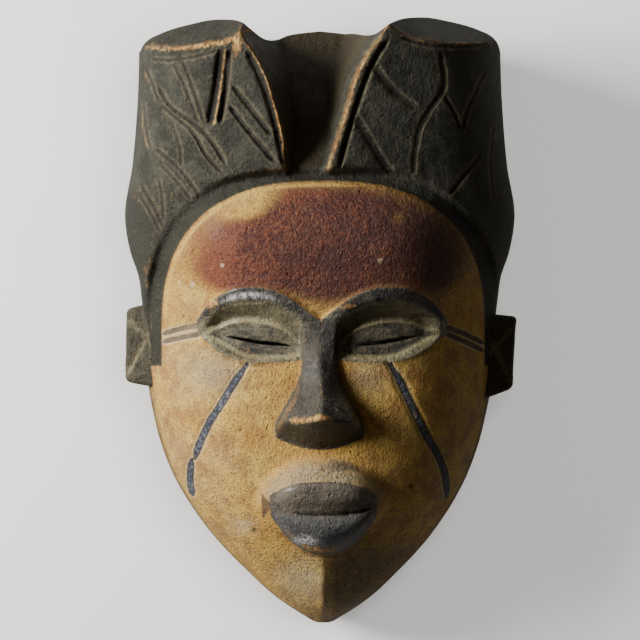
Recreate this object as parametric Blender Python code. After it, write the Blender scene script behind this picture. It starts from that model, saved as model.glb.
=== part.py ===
"""Carved wooden face mask with a two-lobed coiffure and block ears, cut from one piece of wood.

The mask lies on the flat rim of its hollow back, face up. X runs across the face, Y from the chin to
the top of the coiffure, and Z up out of the face. The origin is on the rim's plane, in the middle.
"""

import math

import bmesh
import bpy
import numpy as np
from mathutils.geometry import delaunay_2d_cdt

# Driving dimensions, in metres.
MASK_HEIGHT = 0.320
MASK_DEPTH = 0.136
RIM_WIDTH = 0.0125
SHELL_THICKNESS = 0.018
SLIT_HEIGHT = 0.0019
EAR_BEVEL = 0.0025
CUTTER_REACH = 0.020

# Everything below is in the carving's own proportions: places and widths in parts of about a
# hundredth of the mask's height, and heights in parts of about a hundredth of its depth. Y is 0 at
# the eyes' line.

# The outline and the plain form of the head, each as (place up the face, value) stations.
CHIN_TIP = -50.65
TOP_CORNER = 43.7
HALF_WIDTH = (
    (-50.65, 0.9), (-50.3, 1.8), (-49.5, 3.1), (-48.3, 4.95), (-46.8, 7.1), (-41.8, 12.6), (-36.8, 17.3),
    (-31.8, 21.0), (-26.8, 23.9), (-21.9, 25.9), (-14.4, 27.8), (3.2, 29.4), (7.0, 29.9), (10.6, 31.1),
    (16.5, 32.05), (25.3, 30.8), (35.0, 30.0), (50.0, 29.6),
)
EDGE_HEIGHT = ((-50, 19), (-40, 23), (-20, 27), (0, 31), (20, 36), (50, 36))
CROWN_HEIGHT = (
    (-50, 27), (-49, 36), (-47.5, 45), (-45, 53), (-41, 61), (-37, 68), (-32, 74), (-26, 78), (-18, 80.5),
    (-10, 81.5), (-4, 82.5), (0, 84), (5, 87), (11, 89.5), (17, 88), (21.5, 84), (27, 77), (34, 67),
    (41, 52), (47.5, 34), (50, 30),
)
FALL_TO_SIDE = ((-50, 0.45), (-36, 0.42), (-20, 0.36), (-6, 0.40), (12, 0.46), (50, 0.46))
RIDGE_POWER = ((-50, 1.05), (-41, 1.10), (-34, 1.6), (-22, 2.0), (50, 2.0))
SIDE_POWER = ((-50, 8.0), (-36, 6.0), (-10, 5.0), (12, 4.0), (50, 4.0))

# How far the lower face leans to the right at the chin, and where the lean starts and is full.
CHIN_LEAN = 0.6
LEAN_START = -18.0
LEAN_REACH = 32.0

# The hairline, a rounded arch over the forehead, and the band of hair between it and the lobes.
HAIRLINE_MIDDLE = -2.5
HAIRLINE_SHIFT = 0.6
HAIRLINE_HALF_WIDTH = 26.1
HAIRLINE_REACH = 24.2
HAIRLINE_POWER = 2.5
HAIRLINE_END = -8.0
BAND_WIDTH_TOP = 0.9
BAND_WIDTH_SIDE = 2.2
BAND_DROP = 1.5
LOBE_STEP = 1.2
STEP_WIDTH = 0.55
LOBE_STEP_WIDTH = 1.4

# The two lobes of the coiffure, the valley between them and their tops, which slope away.
VALLEY_MIDDLE = ((15, -2.1), (23, -2.1), (30, -1.45), (42, -1.4), (50, -1.25))
INNER_EDGE = ((15, 2.6), (23, 3.2), (29.9, 4.7), (34, 5.85), (38.4, 7.15), (42, 9.05), (45.4, 11.4), (50, 13.5))
LOBE_RIDGE = ((15, 84), (20, 85.5), (24, 87.5), (30, 90), (40, 90.5), (50, 90))
LOBE_FALL = 0.60
LOBE_SIDE_POWER = 6.0
VALLEY_WALL_FALL = 8.0
TOP_FALL = 6.8
TOP_TILT = 0.012
TOP_FRONT_EDGE = (
    (0, 47.5), (9, 47.0), (11.5, 46.3), (12.6, 45.4), (14, 44.7), (18, 44.0), (22, 43.65), (27, 44.2),
    (29.3, 44.8),
)
TOP_BACK_EDGE = (
    (0, 47.3), (5, 46.6), (9, 45.3), (11, 46.5), (13, 47.9), (16.5, 48.7), (21, 48.15), (26, 46.6), (28.2, 45.35),
    (29.45, 43.7),
)

# The eyes. Each is a stack of lines, and the height changes evenly from one line to the next.
LEFT_EYE_SCALE = 0.98
RIGHT_EYE_SCALE = 1.02
BROW_TOP_LINE = (
    (0, -0.4), (2.3, 1.45), (5.3, 3.5), (7.9, 4.6), (11.1, 5.0), (14, 4.7), (16.6, 3.5), (18.6, 1.8), (20.0, 0.0),
)
BROW_WIDTH = ((0, 2.0), (9, 2.1), (14, 2.1), (18, 1.6), (20, 0.9))
LID_TOP_LINE = (
    (2.4, -5.2), (3.2, -3.9), (4.2, -2.8), (6.2, -1.5), (8.8, -0.7), (11.6, -0.4), (14.3, -0.6), (16.6, -1.4),
    (19.0, -2.5),
)
SLIT_LINE = ((2.4, -5.3), (3.2, -4.8), (4.6, -4.45), (10.4, -3.75), (15.1, -2.9), (19.0, -2.5))
LID_FOOT_LINE = (
    (2.4, -5.4), (3.2, -5.6), (6, -6.0), (9.5, -6.1), (12.4, -5.6), (14.8, -4.4), (16.8, -3.3), (19.0, -2.55),
)
EYE_RIM_LINE = (
    (2.4, -6.3), (3.5, -6.5), (8.2, -6.9), (11.6, -6.8), (14.7, -6.0), (17.1, -4.7), (18.9, -3.2), (20.0, -2.2),
)
BROW_RISE = 1.4
SOCKET_FLOOR = -5.2
LID_RIM = -3.4
LID_MIDDLE = -2.3
SLIT_LEVEL = -2.6
LID_FOOT = -2.6
EYE_RIM_RISE = 0.7
EDGE_STEP = 0.3
EYE_INNER_END = 2.7
EYE_OUTER_END = 19.5
EYE_END = 20.0

# The nose: a ridge between two flat sides, standing on walls, over a flat slanting underside.
NOSE_HALF_WIDTH = (
    (-21, 6.0), (-19.2, 6.05), (-17.4, 6.3), (-15.4, 5.6), (-13, 4.4), (-10.7, 3.3), (-8.3, 2.75), (-2, 2.6),
)
NOSE_RIDGE_RISE = ((-22, 18), (-15.7, 17), (-13.5, 13), (-10, 8), (-5, 3.6), (-3, 2.2), (-1, 1.4))
NOSE_EDGE_RISE = ((-22, 10.5), (-15.7, 10), (-13.5, 7), (-10, 3.4), (-5, 1.6), (-1, 1.2))
NOSE_DRIFT = ((-21, 0.45), (-14, 0.4), (-8, 0.0), (0, 0.0))
NOSE_TOP = -1.0
NOSE_FOOT = -20.7
NOSE_FOOT_ARCH = 1.5
NOSE_WALL_FALL = 15.0
NOSE_UNDER_FALL = 3.5

# The mouth: a raised muzzle with an upper and a lower lip. Profiles run from the parting outwards.
MOUTH_MIDDLE = 0.4
MOUTH_HALF_WIDTH = 8.6
LIP_TOP = -26.2
LIP_TOP_BOW = 2.4
PARTING = -31.3
PARTING_BOW = 1.15
LIP_FOOT = -37.9
LIP_FOOT_BOW = 6.6
UPPER_LIP_PROFILE = ((0, 4.4), (0.14, 6.6), (0.5, 8.4), (0.85, 8.2), (1.0, 7.4), (1.06, 5.0), (1.12, 0))
LOWER_LIP_PROFILE = ((0, 4.4), (0.08, 6.6), (0.3, 8.6), (0.52, 8.9), (0.75, 7.6), (0.92, 5.2), (1.0, 3.4), (1.05, 0))
MUZZLE_CENTRE = -30.0
MUZZLE_HALF_WIDTH = 10.3
MUZZLE_REACH = 7.6
MUZZLE_RISE = 6.6
MUZZLE_FADE = -35.5
MUZZLE_PROFILE = ((0, 1.0), (0.5, 0.97), (0.75, 0.80), (0.9, 0.52), (1.0, 0.15), (1.08, 0))

# The block ears: width and height in parts, thickness in hundredths of the depth.
EAR_SIZE = (7.6, 12.0, 21.0)
EAR_LEVEL = 32.0
LEFT_EAR = (-27.2, -4.35)
RIGHT_EAR = (27.4, -6.1)
EAR_TURN = math.radians(14)
LEFT_EAR_SLANT = (0.02, 0.0)
RIGHT_EAR_SLANT = (0.06, 0.15)
EAR_SUNK_END = 1.24

# The hollow of the back and how the walls come in towards the rim.
RIM_NARROWING = 0.05
HOLLOW_TOP = 38.0
HOLLOW_SHOULDER = 6.0
HOLLOW_HALF_WIDTH = 24.0
HOLLOW_POWER = 2.4

# Spacings of the mesh's points, in parts.
OPEN_SPACING = 1.95
FINE_SPACING = 1.0
OUTLINE_SPACING = 1.7
LINE_SPACING = 1.05
EDGE_RINGS = (0.988, 0.96, 0.92)
EYES_REACH = (-8.0, 6.0)
MOUTH_ACROSS = (-11.0, 11.5)
MOUTH_REACH = (-40.0, -8.0)
WALL_STEPS = (0.35, 1.0)
HOLLOW_ROWS = 22
HOLLOW_COLUMNS = 18

WOOD_COLOUR = (0.30, 0.19, 0.08, 1.0)
WOOD_ROUGHNESS = 0.6


def along(stations, places):
    """Values on the smooth curve that passes through the (place, value) stations."""
    knots, values = np.array(stations, float).T
    slopes = np.gradient(values, knots)
    places = np.clip(places, knots[0], knots[-1])
    i = np.clip(np.searchsorted(knots, places, side="right") - 1, 0, len(knots) - 2)
    gap = knots[i + 1] - knots[i]
    t = (places - knots[i]) / gap
    return (
        (2 * t**3 - 3 * t**2 + 1) * values[i]
        + (t**3 - 2 * t**2 + t) * gap * slopes[i]
        + (3 * t**2 - 2 * t**3) * values[i + 1]
        + (t**3 - t**2) * gap * slopes[i + 1]
    )


def straight(stations, places):
    """Values on the straight lines between the (place, value) stations."""
    knots, values = np.array(stations, float).T
    return np.interp(places, knots, values)


def ease(t):
    """0 below 0, 1 above 1, and a smooth step between."""
    t = np.clip(t, 0, 1)
    return t * t * (3 - 2 * t)


def soft_max(a, b, blend):
    """The larger of two heights, with the inside corner between them rounded."""
    share = np.clip(0.5 + 0.5 * (a - b) / blend, 0, 1)
    return a * share + b * (1 - share) + blend * share * (1 - share)


def soft_min(a, b, blend):
    """The smaller of two heights, with the outside corner between them rounded."""
    return -soft_max(-a, -b, blend)


def head_height(x, y):
    """Height of the plain head, before its features are cut."""
    share = np.clip(np.abs(x) / along(HALF_WIDTH, y), 0, 1)
    edge = along(EDGE_HEIGHT, y)
    slope = 1 - along(FALL_TO_SIDE, y) * share ** along(RIDGE_POWER, y)
    return edge + (along(CROWN_HEIGHT, y) - edge) * slope * np.sqrt(1 - share ** along(SIDE_POWER, y))


def outside_hairline(x, y):
    """How far a place lies outside the hairline. It is negative on the face."""
    x = x - HAIRLINE_SHIFT
    up = np.clip(y - HAIRLINE_MIDDLE, 0, None)
    level = (
        np.abs(x / HAIRLINE_HALF_WIDTH) ** HAIRLINE_POWER + (up / HAIRLINE_REACH) ** HAIRLINE_POWER
    ) ** (1 / HAIRLINE_POWER)
    return (level - 1) * np.hypot(x, up) / np.maximum(level, 1e-6)


def band_width(x):
    """Width of the plain band of hair along the hairline."""
    return BAND_WIDTH_TOP + (BAND_WIDTH_SIDE - BAND_WIDTH_TOP) * ease(np.abs(x) / 20)


def top_edge(stations, x):
    """Place of the tops' front or back edge. The right lobe stands a little higher than the left one."""
    return along(stations, np.abs(x)) + TOP_TILT * x * ease((np.abs(x) - 5) / 5)


def eye_across(x):
    """Distance from the middle in the eyes' own scale, the same for the left eye and the right one."""
    return np.abs(x) / np.where(np.asarray(x) < 0, LEFT_EYE_SCALE, RIGHT_EYE_SCALE)


def eye_lines(u):
    """The eye's lines at a distance from the middle, from the brow down, each as (place, height)."""
    brow_top = along(BROW_TOP_LINE, u)
    brow_foot = brow_top - along(BROW_WIDTH, u)
    lid_top = along(LID_TOP_LINE, u)
    slit = along(SLIT_LINE, u)
    lid_foot = along(LID_FOOT_LINE, u)
    rim = along(EYE_RIM_LINE, u)
    inner = ease((u - EYE_INNER_END) / 0.8)
    outer = ease((EYE_OUTER_END - u) / 3.5)
    sunk = inner * outer
    band = BROW_RISE * ease((EYE_END - u) / 0.8)
    return (
        (brow_top + EDGE_STEP, 0.0 * u),
        (brow_top, band),
        (brow_foot, band),
        (np.minimum(brow_foot - 0.1, lid_top + 0.35), SOCKET_FLOOR * sunk),
        (lid_top, LID_RIM * sunk),
        ((lid_top + slit) / 2, LID_MIDDLE * sunk),
        (slit, SLIT_LEVEL * sunk),
        ((slit + lid_foot) / 2, LID_MIDDLE * sunk),
        (lid_foot, LID_FOOT * sunk),
        (rim, EYE_RIM_RISE * inner * ease((EYE_END - u) / 1.5)),
        (rim - EDGE_STEP, 0.0 * u),
    )


def eye_relief(x, y):
    """Height that the brows, sockets and lids add to the head."""
    lines = eye_lines(eye_across(x))
    relief = np.zeros_like(y)
    for (above, high), (below, low) in zip(lines, lines[1:]):
        gap = np.maximum(above - below, 1e-6)
        share = (above - y) / gap
        relief = np.where((share >= 0) & (share <= 1), high + (low - high) * share, relief)
    return relief * (eye_across(x) < EYE_END)


def nose_foot(x):
    """Where the nose's underside meets the face."""
    return NOSE_FOOT + NOSE_FOOT_ARCH * (x / along(NOSE_HALF_WIDTH, NOSE_FOOT)) ** 2


def with_nose(x, y, head, face):
    """The face's height with the nose on it."""
    half = along(NOSE_HALF_WIDTH, y)
    drift = along(NOSE_DRIFT, y)
    off = np.where(x > drift, (x - drift) / (half - drift), (drift - x) / (half + drift))
    ridge = along(NOSE_RIDGE_RISE, y)
    edge = along(NOSE_EDGE_RISE, y)
    top = np.where(off < 1, ridge + (edge - ridge) * off, edge - (off - 1) * half * NOSE_WALL_FALL)
    under = (y - nose_foot(x)) * NOSE_UNDER_FALL
    nose = head + np.minimum(top, under)
    return np.where(y < NOSE_TOP, np.maximum(face, nose), face)


def mouth_lines(x):
    """Share of the way to the mouth's corner, and the places of the lips' top, parting and foot."""
    share = np.abs((x - MOUTH_MIDDLE) / MOUTH_HALF_WIDTH)
    top = LIP_TOP - LIP_TOP_BOW * share**2.7
    parting = PARTING + PARTING_BOW * share**2.2
    foot = LIP_FOOT + LIP_FOOT_BOW * share**2.4
    return share, top, parting, foot


def mouth_relief(x, y):
    """Height that the muzzle and the lips add to the head."""
    level = np.hypot((x - MOUTH_MIDDLE) / MUZZLE_HALF_WIDTH, (y - MUZZLE_CENTRE) / MUZZLE_REACH)
    muzzle = MUZZLE_RISE * straight(MUZZLE_PROFILE, level) * ease((y - MUZZLE_FADE) / 5)
    share, top, parting, foot = mouth_lines(x)
    upper = straight(UPPER_LIP_PROFILE, (y - parting) / np.maximum(top - parting, 0.5))
    lower = straight(LOWER_LIP_PROFILE, (parting - y) / np.maximum(parting - foot, 0.5))
    ends = np.sqrt(np.clip(1 - share**4, 0, 1))
    lips = np.where(y > parting, upper, lower) * ends
    return np.maximum(muzzle, lips)


def lobe_height(x, y, head):
    """Height of the coiffure: two lobes, the valley between them and their sloping tops."""
    across = np.abs(x - along(VALLEY_MIDDLE, y))
    inner = along(INNER_EDGE, y)
    ridge = along(LOBE_RIDGE, y)
    share = np.clip(np.abs(x) / along(HALF_WIDTH, y), 0, 1)
    edge = along(EDGE_HEIGHT, y)
    outward = np.clip(across - inner, 0, None)
    front = edge + (ridge - LOBE_FALL * outward - edge) * np.sqrt(1 - share**LOBE_SIDE_POWER)
    wall = ridge - (inner - across) * VALLEY_WALL_FALL
    lobe = soft_min(front, wall, 0.8)
    top = front - (y - top_edge(TOP_FRONT_EDGE, x)) * TOP_FALL
    lobe = soft_min(lobe, top, 1.0)
    return soft_max(head, lobe, 1.5)


def front_height(x, y):
    """Height of the carved front over the rim's plane."""
    head = head_height(x, y)
    face = head + np.where(y > -22, eye_relief(x, y), mouth_relief(x, y))
    face = with_nose(x, y, head, face)
    outside = outside_hairline(x, y)
    on_lobe = ease((outside - band_width(x)) / LOBE_STEP_WIDTH)
    lobe = soft_max(head + LOBE_STEP * ease((y - 3) / 6), lobe_height(x, y, head), 1.0)
    hair = (head - BAND_DROP) * (1 - on_lobe) + lobe * on_lobe
    on_hair = np.clip(outside / STEP_WIDTH, 0, 1) * ease((y - HAIRLINE_END) / 4)
    return face * (1 - on_hair) + hair * on_hair


def spaced(x, y, spacing):
    """Points at about even spacing along a line, which is given by many places on it."""
    run = np.concatenate([[0], np.cumsum(np.hypot(np.diff(x), np.diff(y)))])
    at = np.linspace(0, run[-1], max(2, round(run[-1] / spacing) + 1))
    return np.stack([np.interp(at, run, x), np.interp(at, run, y)], axis=1)


def outline():
    """The mask's outline as a closed ring of points, from the chin anticlockwise."""
    side_y = np.linspace(CHIN_TIP, TOP_CORNER, 400)
    side_x = along(HALF_WIDTH, side_y)
    right = spaced(side_x, side_y, OUTLINE_SPACING)
    left = spaced(-side_x[::-1], side_y[::-1], OUTLINE_SPACING)
    corner = side_x[-1]
    top_x = np.linspace(corner, -corner, 400)[1:-1]
    top = spaced(top_x, top_edge(TOP_BACK_EDGE, top_x), OUTLINE_SPACING)
    return np.concatenate([right, top[1:-1], left])


def hairline(offset):
    """The hairline, or the line at some distance outside it, from the left ear to the right one."""
    turn = np.linspace(0, math.pi, 200)
    x = -np.sign(np.cos(turn)) * np.abs(np.cos(turn)) ** (2 / HAIRLINE_POWER) * HAIRLINE_HALF_WIDTH
    y = HAIRLINE_MIDDLE + np.abs(np.sin(turn)) ** (2 / HAIRLINE_POWER) * HAIRLINE_REACH
    distance = offset(x) if callable(offset) else offset
    stretch = 1 + distance / np.maximum(np.hypot(x, y - HAIRLINE_MIDDLE), 1)
    y = HAIRLINE_MIDDLE + (y - HAIRLINE_MIDDLE) * stretch
    return spaced(x * stretch + HAIRLINE_SHIFT, y, LINE_SPACING * 1.7)


def eye_feature_lines(side):
    """The lines of one eye, where its surface bends."""
    scale = RIGHT_EYE_SCALE if side > 0 else LEFT_EYE_SCALE
    whole = np.linspace(0, 19.9, 120)
    within = np.linspace(EYE_INNER_END + 0.4, EYE_OUTER_END - 0.6, 120)
    bends = [(0, whole), (1, whole)] + [(i, within) for i in (2, 3, 4, 6, 8, 9, 10)]
    return [spaced(side * scale * u, eye_lines(u)[i][0], LINE_SPACING) for i, u in bends]


def nose_feature_lines():
    """The nose's ridge, its two edges with the feet of their walls, the tip's edge and the foot."""
    y = np.linspace(NOSE_FOOT + 0.6, NOSE_TOP - 0.5, 80)
    half = along(NOSE_HALF_WIDTH, y)
    drift = along(NOSE_DRIFT, y)
    x = np.linspace(-6.2, 6.2, 60)
    tip = nose_foot(x) + (17 - np.abs(x) * 1.15) / NOSE_UNDER_FALL
    lines = [spaced(drift, y, LINE_SPACING), spaced(x, tip, LINE_SPACING), spaced(x, nose_foot(x), LINE_SPACING)]
    for side in (-1, 1):
        wall = along(NOSE_EDGE_RISE, y) / NOSE_WALL_FALL + 0.1
        lines.append(spaced(side * half, y, LINE_SPACING))
        lines.append(spaced(side * (half + wall), y, LINE_SPACING))
    return lines


def mouth_feature_lines():
    """The lips' outlines and parting, and the arch of the muzzle."""
    x = MOUTH_MIDDLE + np.linspace(-0.97, 0.97, 90) * MOUTH_HALF_WIDTH
    _, top, parting, foot = mouth_lines(x)
    upper = top - parting
    lower = parting - foot
    lines = [spaced(x, parting + upper * part, LINE_SPACING) for part in (1.0, 1.12, 0.5)]
    lines += [spaced(x, parting - lower * part, LINE_SPACING) for part in (0.0, 0.1, 0.5, 0.85, 1.0, 1.05)]
    turn = np.linspace(0.1, math.pi - 0.1, 90)
    for part in (1.06, 0.85):
        x = MOUTH_MIDDLE + MUZZLE_HALF_WIDTH * part * np.cos(turn)
        lines.append(spaced(x, MUZZLE_CENTRE + MUZZLE_REACH * part * np.sin(turn), LINE_SPACING))
    return lines


def lobe_feature_lines():
    """The lobes' inner edges, the feet of the valley's walls and the front edges of the tops."""
    lines = []
    for side in (-1, 1):
        y = np.linspace(23.6, 46.0, 80)
        middle = along(VALLEY_MIDDLE, y)
        inner = along(INNER_EDGE, y)
        deep = np.clip(along(LOBE_RIDGE, y) - along(CROWN_HEIGHT, y), 0, None) / VALLEY_WALL_FALL
        lines.append(spaced(middle + side * (inner + 0.15), y, LINE_SPACING * 1.3))
        lines.append(spaced(middle + side * (inner - 0.3), y, LINE_SPACING * 1.3))
        lines.append(spaced(middle + side * np.clip(inner - deep, 0.4, None), y, LINE_SPACING * 1.6))
        x = side * np.linspace(12.4, 28.2, 80)
        lines.append(spaced(x, top_edge(TOP_FRONT_EDGE, x), LINE_SPACING * 1.5))
        lines.append(spaced(x, top_edge(TOP_FRONT_EDGE, x) + 0.45, LINE_SPACING * 1.5))
    return lines


def ring_edges(first, count):
    """Edges that join points with running numbers into a closed ring."""
    return [(first + i, first + (i + 1) % count) for i in range(count)]


def inside_ring(ring, points):
    """Which points lie inside a closed ring."""
    inside = np.zeros(len(points), bool)
    for (ax, ay), (bx, by) in zip(ring, np.roll(ring, -1, axis=0)):
        crosses = (ay > points[:, 1]) != (by > points[:, 1])
        if by != ay:
            inside ^= crosses & (points[:, 0] < (bx - ax) * (points[:, 1] - ay) / (by - ay) + ax)
    return inside


def nearest(points, others):
    """Distance from each point to the nearest of the others."""
    gaps = np.full(len(points), np.inf)
    for other in others:
        gaps = np.minimum(gaps, np.hypot(*(points - other).T))
    return gaps


def hexagonal(x_range, y_range, spacing):
    """A grid of points in equal triangles."""
    rows = np.arange(y_range[0], y_range[1], spacing * math.sqrt(3) / 2)
    columns = np.arange(x_range[0], x_range[1], spacing)
    shifts = [(i % 2) * spacing / 2 for i in range(len(rows))]
    return np.concatenate([
        np.stack([columns + shift, np.full(len(columns), row)], axis=1) for shift, row in zip(shifts, rows)
    ])


def front_sheet():
    """Points and triangles of the front: lines where the carving bends, and even points between them."""
    lines = eye_feature_lines(-1) + eye_feature_lines(1) + nose_feature_lines() + mouth_feature_lines()
    lines += lobe_feature_lines()
    lines += [hairline(0.0), hairline(STEP_WIDTH), hairline(band_width)]
    lines.append(hairline(lambda x: band_width(x) + LOBE_STEP_WIDTH))
    chosen = [RING]
    edges = ring_edges(0, len(RING))
    for line in [RING * part for part in EDGE_RINGS] + lines:
        keep = inside_ring(RING * 0.992, line) & (nearest(line, np.concatenate(chosen)) > 0.2)
        first = sum(len(part) for part in chosen)
        places = np.cumsum(keep) - 1 + first
        edges += [(places[i], places[i + 1]) for i in range(len(line) - 1) if keep[i] and keep[i + 1]]
        chosen.append(line[keep])
    fine = np.concatenate([
        hexagonal((-EYE_END, EYE_END), EYES_REACH, FINE_SPACING),
        hexagonal(MOUTH_ACROSS, MOUTH_REACH, FINE_SPACING),
    ])
    span = 1.05 * np.abs(RING).max(axis=0)
    coarse = hexagonal((-span[0], span[0]), (-span[1], span[1]), OPEN_SPACING)
    for fill, spacing in ((fine, FINE_SPACING), (coarse, OPEN_SPACING)):
        fill = fill[inside_ring(RING * EDGE_RINGS[-1], fill)]
        chosen.append(fill[nearest(fill, np.concatenate(chosen)) > 0.62 * spacing])
    points = [tuple(p) for p in np.concatenate(chosen)]
    places, _, faces, *_ = delaunay_2d_cdt(points, edges, [], 1, 1e-6)
    return np.array([tuple(p) for p in places]), faces


RING = outline()
PART = MASK_HEIGHT / np.ptp(RING[:, 1])
MIDDLE = (RING[:, 1].min() + RING[:, 1].max()) / 2
NOSE_GRID = np.meshgrid(np.linspace(-1, 1, 21), np.linspace(NOSE_FOOT, NOSE_TOP, 400))
RISE = MASK_DEPTH / front_height(*NOSE_GRID).max()


def lean(y):
    """How far the lower face leans to the right, towards the chin."""
    return CHIN_LEAN * ease((LEAN_START - y) / LEAN_REACH)


def in_metres(x, y, z):
    """A point of the carving, in metres from the mask's origin."""
    return ((x + lean(y)) * PART, (y - MIDDLE) * PART, z * RISE)


def new_object(name, mesh):
    """Puts a finished bmesh into the scene as a smooth-shaded object."""
    bmesh.ops.recalc_face_normals(mesh, faces=mesh.faces)
    data = bpy.data.meshes.new(name)
    mesh.to_mesh(data)
    mesh.free()
    data.shade_smooth()
    data.set_sharp_from_angle(angle=math.radians(35))
    obj = bpy.data.objects.new(name, data)
    bpy.context.scene.collection.objects.link(obj)
    return obj


def as_cutter(obj):
    """Marks a helper that only shapes another object."""
    obj.hide_render = True
    obj.display_type = "WIRE"
    return obj


def drop_edge(mesh, steps, narrowing, bottom):
    """Carries the open edge of a sheet down to a flat bottom, coming in a little, and closes it."""
    edge = [e for e in mesh.edges if e.is_boundary]
    start = {v: v.co.copy() for e in edge for v in e.verts}
    for step in steps:
        made = bmesh.ops.extrude_edge_only(mesh, edges=edge)["geom"]
        lower = [v for v in made if isinstance(v, bmesh.types.BMVert)]
        above = {v: next(e.other_vert(v) for e in v.link_edges if e.other_vert(v) in start) for v in lower}
        start = {v: start[above[v]] for v in lower}
        for v in lower:
            inward = 1 - narrowing * step**2
            height = start[v].z + (bottom - start[v].z) * step
            v.co = (start[v].x * inward, start[v].y * inward, height)
        edge = [e for e in made if isinstance(e, bmesh.types.BMEdge) and e.is_boundary]
    bmesh.ops.contextual_create(mesh, geom=edge)


def carved_block():
    """The solid mask before it is hollowed: the carved front, its side walls and a flat back."""
    places, faces = front_sheet()
    heights = front_height(places[:, 0], places[:, 1])
    mesh = bmesh.new()
    points = [mesh.verts.new(in_metres(x, y, z)) for (x, y), z in zip(places, heights)]
    for face in faces:
        mesh.faces.new([points[i] for i in face])
    drop_edge(mesh, WALL_STEPS, RIM_NARROWING, 0.0)
    return new_object("mask", mesh)


def hollow_half_width(y):
    """Half width of the hollow at the rim: a rim's width inside the jaw, and an arch inside the hair."""
    inward = 1 - RIM_NARROWING
    at = MIDDLE + (y - MIDDLE) / inward
    slope = (along(HALF_WIDTH, at + 1) - along(HALF_WIDTH, at - 1)) / 2
    inside_jaw = along(HALF_WIDTH, at) * inward - RIM_WIDTH / PART * np.hypot(1, slope)
    up = np.clip(y - HOLLOW_SHOULDER, 0, None) / (HOLLOW_TOP - HOLLOW_SHOULDER)
    arch = HOLLOW_HALF_WIDTH * np.clip(1 - up**HOLLOW_POWER, 0, 1) ** (1 / HOLLOW_POWER)
    return np.clip(np.minimum(inside_jaw, arch), 0, None)


def hollow_cutter():
    """The shape of the hollow: a dome that follows the head at the shell's thickness."""
    least = RIM_WIDTH / PART / 3
    low = next(y for y in np.arange(-50, 0, 0.1) if hollow_half_width(y) > least)
    turn = np.linspace(-math.pi / 2, math.pi / 2, HOLLOW_ROWS)
    y = (low + HOLLOW_TOP) / 2 + (HOLLOW_TOP - low) / 2 * np.sin(turn) * 0.9999
    half = np.maximum(hollow_half_width(y), least)
    ceiling = (along(CROWN_HEIGHT, y) - SHELL_THICKNESS / RISE) * np.abs(np.cos(turn)) ** 0.45
    side = np.linspace(-math.pi / 2, math.pi / 2, HOLLOW_COLUMNS)
    mesh = bmesh.new()
    rows = [
        [mesh.verts.new(in_metres(w * math.sin(a), at, max(c, 0) * abs(math.cos(a)) ** 0.8)) for a in side]
        for at, w, c in zip(y, half, ceiling)
    ]
    for low_row, high_row in zip(rows, rows[1:]):
        for i in range(HOLLOW_COLUMNS - 1):
            mesh.faces.new((low_row[i], low_row[i + 1], high_row[i + 1], high_row[i]))
    drop_edge(mesh, (1.0,), 0.0, -CUTTER_REACH)
    return as_cutter(new_object("hollow_cutter", mesh))


def ear_block(name, centre, slant, side):
    """A block ear that stands out from the side of the head, taller where it is sunk in."""
    mesh = bmesh.new()
    bmesh.ops.create_cube(mesh, size=1.0)
    for v in mesh.verts:
        taller = 1.0 if v.co.x * side > 0 else EAR_SUNK_END
        v.co = (v.co.x * EAR_SIZE[0] * PART, v.co.y * EAR_SIZE[1] * PART * taller, v.co.z * EAR_SIZE[2] * RISE)
    bmesh.ops.bevel(mesh, geom=mesh.edges[:], offset=EAR_BEVEL, segments=2, affect="EDGES", profile=0.6)
    for v in mesh.verts:
        v.co = (v.co.x + slant[0] * v.co.y, v.co.y + slant[1] * v.co.x, v.co.z)
    ear = new_object(name, mesh)
    ear.location = in_metres(*centre, EAR_LEVEL)
    ear.rotation_euler = (0, side * EAR_TURN, 0)
    return as_cutter(ear)


def slit_cutter(name, side, scale):
    """A thin blade with pointed ends that pierces one eye along its slit."""
    u = np.linspace(4.6, 15.1, 7)
    half = SLIT_HEIGHT / 2 / PART * np.array([0.15, 0.8, 1, 1, 1, 0.8, 0.15])
    line = along(SLIT_LINE, u)
    edge_x = np.concatenate([u, u[::-1]]) * side * scale
    edge_y = np.concatenate([line + half, (line - half)[::-1]])
    mesh = bmesh.new()
    low = -CUTTER_REACH / RISE
    base = mesh.faces.new([mesh.verts.new(in_metres(a, b, low)) for a, b in zip(edge_x, edge_y)])
    top = bmesh.ops.extrude_face_region(mesh, geom=[base])["geom"]
    lift = (0, 0, MASK_DEPTH + 2 * CUTTER_REACH)
    bmesh.ops.translate(mesh, vec=lift, verts=[v for v in top if isinstance(v, bmesh.types.BMVert)])
    return as_cutter(new_object(name, mesh))


def combine(target, operation, helper):
    """Adds a Boolean modifier that joins a helper to the target or cuts it away."""
    modifier = target.modifiers.new(helper.name, "BOOLEAN")
    modifier.operation = operation
    modifier.solver = "EXACT"
    modifier.object = helper


def wood():
    """Painted and worn wood."""
    material = bpy.data.materials.new("painted_wood")
    material.use_nodes = True
    shader = material.node_tree.nodes["Principled BSDF"]
    shader.inputs["Base Color"].default_value = WOOD_COLOUR
    shader.inputs["Roughness"].default_value = WOOD_ROUGHNESS
    shader.inputs["Metallic"].default_value = 0.0
    return material


def build():
    """Builds the mask as one object, with its helpers kept as modifiers' operands."""
    for obj in list(bpy.data.objects):
        bpy.data.objects.remove(obj)
    mask = carved_block()
    mask.data.materials.append(wood())
    combine(mask, "UNION", ear_block("left_ear", LEFT_EAR, LEFT_EAR_SLANT, -1))
    combine(mask, "UNION", ear_block("right_ear", RIGHT_EAR, RIGHT_EAR_SLANT, 1))
    combine(mask, "DIFFERENCE", hollow_cutter())
    combine(mask, "DIFFERENCE", slit_cutter("left_slit", -1, LEFT_EYE_SCALE))
    combine(mask, "DIFFERENCE", slit_cutter("right_slit", 1, RIGHT_EYE_SCALE))


build()
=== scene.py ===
import math

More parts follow.
